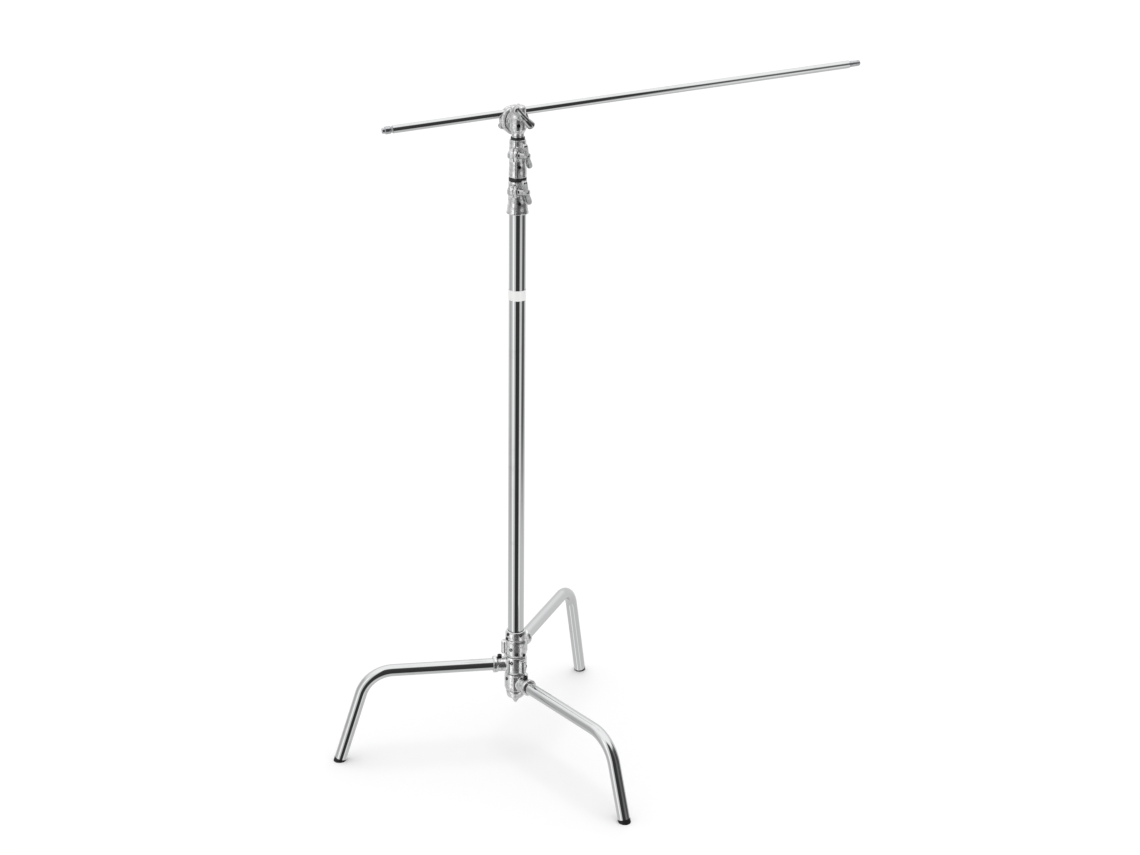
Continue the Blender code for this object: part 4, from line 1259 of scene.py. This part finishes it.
# (radius, height over the casting's foot) in millimetres
LOWER_OUTLINE = [(17.6, 67.4), (18.6, 64.4), (19.2, 22), (20.6, 17), (21.4, 6), (22.6, 4), (22.6, 0)]
UPPER_OUTLINE = [(16.2, 77), (17.2, 74), (17.2, 24), (18, 18), (18.2, 0)]
COLLAR_TUBES = {"lower": "base_column", "upper": "riser_1_tube"}
collar("lower", LOWER_OUTLINE, 16.8 * MM, COLLAR_TUBES["lower"])
collar("upper", UPPER_OUTLINE, 14.6 * MM, COLLAR_TUBES["upper"])

# %% [markdown]
# The bush is a black plastic ring that the riser runs in. Only its flange shows, as a dark line above
# the casting.

# %% Bushes
def bush(which, body, riser, outer):
    low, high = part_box(which + "_collar_bush")
    collar_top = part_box(which + "_collar")[1].z
    flange = radius_of(which + "_collar_bush")
    inner = radius_of(riser) + 0.35 * MM
    shape = bmesh.new()
    top, step = high.z, collar_top + GAP
    points = [(inner, top), (flange, top), (flange, step), (outer, step), (outer, low.z), (inner, low.z)]
    add_turned(shape, points, on_column(), 64, 0.4 * MM, ring=True)
    place(which + "_bush", shape, body, "black_plastic", [which + "_collar_bush"])


bush("lower", "base", "riser_1_tube", 16.5 * MM)
bush("upper", "riser_1", "riser_2_tube", 14.3 * MM)

# %% [markdown]
# ## The T handles
#
# Every clamp on the stand closes with a cast T: a hub that swallows its stud, and a bar with swollen
# ends for the hand. The bar's outline is a few points, turned about its own axis and mirrored.

# %% T handles
# (share of the bar's radius, share of its half length), from the tip to the waist
BAR_END = ((0, 1.0), (0.5, 0.985), (0.85, 0.94), (1.0, 0.86), (1.0, 0.72), (0.8, 0.3))


def bar_outline(length, thick):
    half = [(thick * r, length * h) for r, h in BAR_END]
    return half + [(r, -h) for r, h in reversed(half)]


def t_handle(name, body, node, here, hub, bore, bar):
    """hub is (radius, foot, end), bore is (radius, depth), and bar is (reach, half length, radius, turn)."""
    hub_r, foot_at, end_at = hub
    bore_r, depth = bore
    reach, half_length, thick, turn = bar
    solids, holes = bmesh.new(), bmesh.new()
    waist = hub_r - 1.2 * MM
    stem = [(0, end_at), (waist - 1 * MM, end_at), (waist, reach), (waist, foot_at + 4 * MM)]
    stem += [(hub_r, foot_at + 2 * MM), (hub_r, foot_at), (0, foot_at)]
    add_turned(solids, stem, here, 48, 0.8 * MM)
    across = here @ Matrix.Rotation(turn, 4, "Z") @ axes((0, 0, reach), (1, 0, 0), (0, 0, 1))
    add_turned(solids, bar_outline(half_length, thick), across, 40, 1.5 * MM)
    add_rod(holes, bore_r, foot_at - 10 * MM, foot_at + depth, here, 32)
    place(name, cast(name, solids, holes, 0.7 * MM, 8), body, "cast_chrome", [node], "handle_chrome")


CLAMP_HANDLE = {"hub": (7.5 * MM, 7.8 * MM, 32.5 * MM), "bore": (4.3 * MM, 11 * MM)}
CLAMP_BAR = (26.5 * MM, 35.5 * MM, 6.2 * MM, radians(38))
for which, (_, stud, _) in CLAMPS.items():
    rides_on, stands_for = which + "_handle", which + "_clamp_handle"
    t_handle(which + "_t_handle", rides_on, stands_for, stud, bar=CLAMP_BAR, **CLAMP_HANDLE)

# %% [markdown]
# Behind each pair of ears sits a hexagon nut with the stud's threaded end through it. The nut is a plain six-sided
# rod with a bore; a real nut also has its corners turned off.

# %% Nuts and threads
def clamp_nut(which):
    body, stud, _ = CLAMPS[which]
    end, foot_at = -EAR_HALF_WIDTH - 5.3 * MM, -EAR_HALF_WIDTH - GAP
    nut, limit = bmesh.new(), bmesh.new()
    add_rod(nut, 7.5 * MM, end, foot_at, stud, 6)
    add_rod(limit, 4.3 * MM, end - 10 * MM, foot_at + 10 * MM, stud, 32)
    mesh = carve(which + "_nut", nut, limit)
    place(which + "_nut", mesh, body, "zinc_steel", [which + "_clamp_nut"])
    thread = node_mesh(THREAD, "zinc_steel", Turns=1.6, Radius=3.9 * MM, Length=1.5 * MM, Depth=0.35 * MM)
    moved(thread, stud @ Matrix.Translation((0, 0, end - 0.5 * MM)))
    place(which + "_stud_thread", thread, body, "zinc_steel")


for which in CLAMPS:
    clamp_nut(which)

# %% [markdown]
# The thin screws beside the slits hold each bush in its collar. They stand in a counterbore, so only the
# dark socket of the key shows.

# %% Collar screws
def along(matrix, distance):
    """The point that far along a matrix's Z, and its direction."""
    out = matrix.to_3x3().col[2]
    return matrix.translation + out * distance, out


for which, (body, _, _) in CLAMPS.items():
    here = screw_place(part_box(which + "_collar")[0], radius_of(COLLAR_TUBES[which]))
    stands_for = [which + "_collar_screw"]
    screws(which + "_bush_screw", body, [along(here, 2.2 * MM)], 3.4 * MM, 3.4 * MM, 1.9 * MM, stands_for)

# %% [markdown]
# ## The grip head
#
# The grip head is a receiver that drops over the pin, with a big round boss on its back. Two grooved
# plates turn on a bolt through the boss, and a T handle squeezes them on the rod. The receiver and its
# boss are one casting. Its bore is left open, so the pin shows the head is not one with the stand.

# %% Head places
ARM_TILT = radians(5.75)
PLATE_R, ARM_Y, ARM_ABOVE_BOLT, ARM_R = 28.3 * MM, 39.5 * MM, 14.5 * MM, 8 * MM
BOLT_R = 5 * MM
BOLT = axes(AXIS + Vector((0, 0, joint_place("jaw_turn")[0].z)), (0, 1, 0), (1, 0, 0))
JAW = axes(BOLT.translation, (0, 1, 0), (cos(ARM_TILT), 0, sin(ARM_TILT)))
LOCK_AZIMUTH, SCREW_AZIMUTH = radians(-84), radians(-98)


def sideways(height, azimuth):
    """Local Z out from the pin's axis along an azimuth, local X up."""
    return axes(AXIS + Vector((0, 0, height)), outwards_at(azimuth), (0, 0, 1))


def in_plates(offset):
    """Local Z along a rod held between the plates, that far below the bolt, or above it if negative."""
    return JAW @ axes((0, offset, ARM_Y), (1, 0, 0), (0, 0, 1))


LOCK = sideways(joint_place("lock_handle_turn")[0].z, LOCK_AZIMUTH)
SET_SCREW = sideways(1.4252, SCREW_AZIMUTH)

# %% [markdown]
# The receiver melts a turned body, the round boss with its recessed back and a small boss for the lock
# screw into one. The bores for the pin, the bolt and both screws are cut afterwards.

# %% Receiver
def receiver():
    solids, holes = bmesh.new(), bmesh.new()
    low, high = (corner.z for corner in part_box("head_body"))
    body = [(0, high), (13 * MM, high), (16 * MM, high - 4 * MM), (16.5 * MM, low + 16 * MM)]
    body += [(12.6 * MM, low + 10 * MM), (12.4 * MM, low), (0, low)]
    add_turned(solids, body, on_column(), 64, 1.5 * MM)
    far, near, neck = 27 * MM, 18.5 * MM, 14.5 * MM
    boss = [(0, far), (PLATE_R - 2 * MM, far), (PLATE_R, far - 2 * MM), (PLATE_R, near + 3 * MM)]
    boss += [(PLATE_R - 6 * MM, near), (neck, near), (neck, 6 * MM), (0, 6 * MM)]
    add_turned(solids, boss, BOLT, 80, 1 * MM)
    add_rod(solids, 8.5 * MM, 10 * MM, 19.5 * MM, LOCK, 40, 0.8 * MM)
    add_rod(holes, 8.4 * MM, low - 10 * MM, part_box("top_pin")[1].z + 0.8 * MM, on_column(), 64)
    add_rod(holes, 9 * MM, 4 * MM, 18 * MM, BOLT, 40)
    add_rod(holes, BOLT_R + 0.5 * MM, 10 * MM, far + 10 * MM, BOLT, 32)
    add_rod(holes, 4.5 * MM, 4 * MM, 30 * MM, LOCK, 32)
    add_rod(holes, 3.8 * MM, 4 * MM, 30 * MM, SET_SCREW, 32)
    mesh = cast("receiver_casting", solids, holes, 0.8 * MM)
    place("receiver_casting", mesh, "head", "cast_chrome", ["head_body"])


receiver()
set_screw = [along(SET_SCREW, 12.6 * MM)]
screws("receiver_screw", "head", set_screw, 3.4 * MM, 3.6 * MM, 1.9 * MM, ["head_set_screw"])

# %% [markdown]
# The pin is a turned steel stud, necked so that the lock screw can hold it down. Above the riser only a
# short length shows, bright from use.

# %% Top pin
def top_pin():
    low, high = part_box("top_pin")
    pin, riser_top, riser = 7.95 * MM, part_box("riser_2_tube")[1].z, radius_of("riser_2_tube")
    stem = riser - WALL - GAP
    points = [(0, high.z), (pin - 1.5 * MM, high.z), (pin, high.z - 1.5 * MM), (pin, high.z - 8 * MM)]
    points += [(6.4 * MM, high.z - 10 * MM), (6.4 * MM, high.z - 21 * MM), (pin, high.z - 23 * MM)]
    points += [(pin, riser_top + 2.4 * MM), (riser, riser_top + 2.4 * MM), (riser, riser_top + GAP)]
    points += [(stem, riser_top + GAP), (stem, low.z), (0, low.z)]
    shape = bmesh.new()
    add_turned(shape, points, on_column(), 64, 0.5 * MM)
    place("necked_pin", shape, "riser_2", "zinc_steel", ["top_pin"])


top_pin()

# %% [markdown]
# The plates are thick discs with four grooves across their faces, so that together they hold rods of
# three sizes. A knurl of fine ridges runs round each rim, and the grooves are cut through it too.

# %% Plates
def groove_cutters(holes):
    """The rod's own groove above the bolt, a smaller one below it, and two thin ones across them."""
    far = 50 * MM
    add_rod(holes, ARM_R + 0.4 * MM, -far, far, in_plates(-ARM_ABOVE_BOLT), 64)
    add_rod(holes, 5.7 * MM, -far, far, in_plates(ARM_ABOVE_BOLT), 48)
    for side in (-1, 1):
        upright = JAW @ axes((side * 18 * MM, 0, ARM_Y), (0, 1, 0), (0, 0, 1))
        add_rod(holes, 3.4 * MM, -far, far, upright, 40)


def plate(name, node, outline, ridge_at):
    solid, holes = bmesh.new(), bmesh.new()
    add_turned(solid, outline, JAW, 96, 0.6 * MM, ring=True)
    groove_cutters(holes)
    disc = carve(name, solid, holes)
    ridges = node_mesh(
        RIDGES, "cast_chrome", Count=72, Radius=PLATE_R - 0.45 * MM,
        Width=1.1 * MM, Height=0.8 * MM, Length=4.5 * MM, Lift=ridge_at,
    )
    clear = bmesh.new()
    groove_cutters(clear)
    knurl = temporary("knurl", moved(ridges, JAW))
    mesh = joined(name, disc, cut_mesh(knurl, cut_out(knurl, clear)))
    mesh.set_sharp_from_angle(angle=radians(35))
    place(name, mesh, "jaws", "cast_chrome", [node])


def both_plates():
    inner_low, inner_high = (corner.y - AXIS.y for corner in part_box("inner_plate"))
    outer_low, outer_high = (corner.y - AXIS.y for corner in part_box("outer_plate"))
    rim, bore, well, deep = 1.5 * MM, BOLT_R + 0.5 * MM, 7.4 * MM, 5 * MM
    outer_r = PLATE_R - 0.5 * MM
    inner = [(well, inner_high), (outer_r - rim, inner_high), (outer_r, inner_high - rim)]
    inner += [(outer_r, inner_low + rim), (outer_r - rim, inner_low), (bore, inner_low)]
    inner += [(bore, inner_high - deep), (well, inner_high - deep)]
    plate("inner_grip_plate", "inner_plate", inner, (inner_low + inner_high) / 2)
    outer = [(bore, outer_high), (outer_r - 9 * MM, outer_high), (outer_r, outer_high - 4 * MM)]
    outer += [(outer_r, outer_low + rim), (outer_r - rim, outer_low), (well, outer_low)]
    outer += [(well, outer_low + deep), (bore, outer_low + deep)]
    plate("outer_grip_plate", "outer_plate", outer, outer_low + 4 * MM)


both_plates()

# %% [markdown]
# Behind the plates a washer and a roller race let the handle turn under load. They are plain rings with
# rounded edges, and the race has a row of small ridges for its rollers.

# %% Washer and race
def ring_on_bolt(name, node, rollers=0):
    low, high = (corner.y - AXIS.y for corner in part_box(node))
    outer = (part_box(node)[1].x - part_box(node)[0].x) / 2
    bore = BOLT_R + 0.5 * MM
    shape = bmesh.new()
    profile = [(outer, high), (outer, low), (bore, low), (bore, high)]
    if rollers:
        waist, lip = outer - 1.2 * MM, 0.6 * MM
        profile = [(outer, high), (outer, high - lip), (waist, high - lip), (waist, low + lip)]
        profile += [(outer, low + lip), (outer, low), (bore, low), (bore, high)]
    add_turned(shape, profile, JAW, 64, 0.25 * MM, ring=True)
    mesh = to_mesh(name, shape)
    if rollers:
        rows = node_mesh(
            RIDGES, "zinc_steel", Count=rollers, Radius=waist, Width=0.9 * MM,
            Height=1.2 * MM, Length=high - low - 1.4 * MM, Lift=(low + high) / 2,
        )
        mesh = joined(name, mesh, moved(rows, JAW))
    mesh.set_sharp_from_angle(angle=radians(40))
    place(name, mesh, "jaws", "zinc_steel", [node])


ring_on_bolt("thrust_ring", "thrust_washer")
ring_on_bolt("roller_race", "thrust_bearing", 24)

# %% [markdown]
# The lock handle on the front of the head is short, because it swings close to the collar below. The
# handle that closes the plates is a little longer, and its hub is stouter, because it does more work.

# %% Head handles
t_handle(
    "receiver_t_handle", "lock_handle", "head_lock_handle", LOCK,
    (7 * MM, 20.3 * MM, 38 * MM), (4.3 * MM, 3 * MM), (32 * MM, 29 * MM, 8.5 * MM, radians(44)),
)
HANDLE_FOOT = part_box("head_handle")[0].y - AXIS.y
t_handle(
    "plate_t_handle", "main_handle", "head_handle", JAW,
    (10 * MM, HANDLE_FOOT, HANDLE_FOOT + 18 * MM), (BOLT_R + GAP, 14 * MM),
    (HANDLE_FOOT + 11 * MM, 32 * MM, 7 * MM, radians(-40)),
)

# %% [markdown]
# ## The arm
#
# The arm is a long chrome rod. At its near end a turned fitting has a deep neck for a safety catch, and
# at the far end a smaller tip is pressed in. Both are turned pieces, and so is the rod, with its sockets
# at the ends.

# %% Arm
ARM_LENGTH, ARM_LEFT = 1.016, 0.268


def arm():
    here = in_plates(-ARM_ABOVE_BOLT)
    left, right = -ARM_LEFT, ARM_LENGTH - ARM_LEFT
    rod_left, rod_right = left + 22 * MM, right - 24 * MM
    bore, depth, edge = 5 * MM, 12 * MM, 0.4 * MM
    stem = bore - GAP
    rod = [(0, rod_right - depth), (bore, rod_right - depth), (bore, rod_right), (ARM_R, rod_right)]
    rod += [(ARM_R, rod_left), (bore, rod_left), (bore, rod_left + depth), (0, rod_left + depth)]
    near = [(0, rod_left + depth - 1 * MM), (stem, rod_left + depth - 1 * MM), (stem, rod_left - GAP)]
    near += [(ARM_R - 0.8 * MM, rod_left - GAP), (ARM_R - 2.4 * MM, rod_left - 3 * MM)]
    near += [(ARM_R - 0.2 * MM, rod_left - 5 * MM), (ARM_R - 0.2 * MM, left + 7 * MM)]
    near += [(ARM_R - 2 * MM, left + 6 * MM), (ARM_R - 2.4 * MM, left + 1 * MM)]
    near += [(ARM_R - 3.4 * MM, left), (0, left)]
    far = [(0, right), (ARM_R - 3.4 * MM, right), (ARM_R - 2 * MM, right - 2 * MM)]
    far += [(ARM_R - 1.6 * MM, rod_right + GAP), (stem, rod_right + GAP)]
    far += [(stem, rod_right - depth + 1 * MM), (0, rod_right - depth + 1 * MM)]
    rows = [("grip_rod", rod, "chrome", "arm_rod"), ("neck_fitting", near, "zinc_steel", "arm_end_pin")]
    rows.append(("pressed_tip", far, "zinc_steel", "arm_tip"))
    for name, outline, slot, node in rows:
        shape = bmesh.new()
        add_turned(shape, outline, here, 96, edge)
        place(name, shape, "arm", slot, [node])


arm()

# %% Finish
now_low, now_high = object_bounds()
before, after = ([round(v, 4) for v in size] for size in (cad_high - cad_low, now_high - now_low))
print("size before", before, "and after", after)
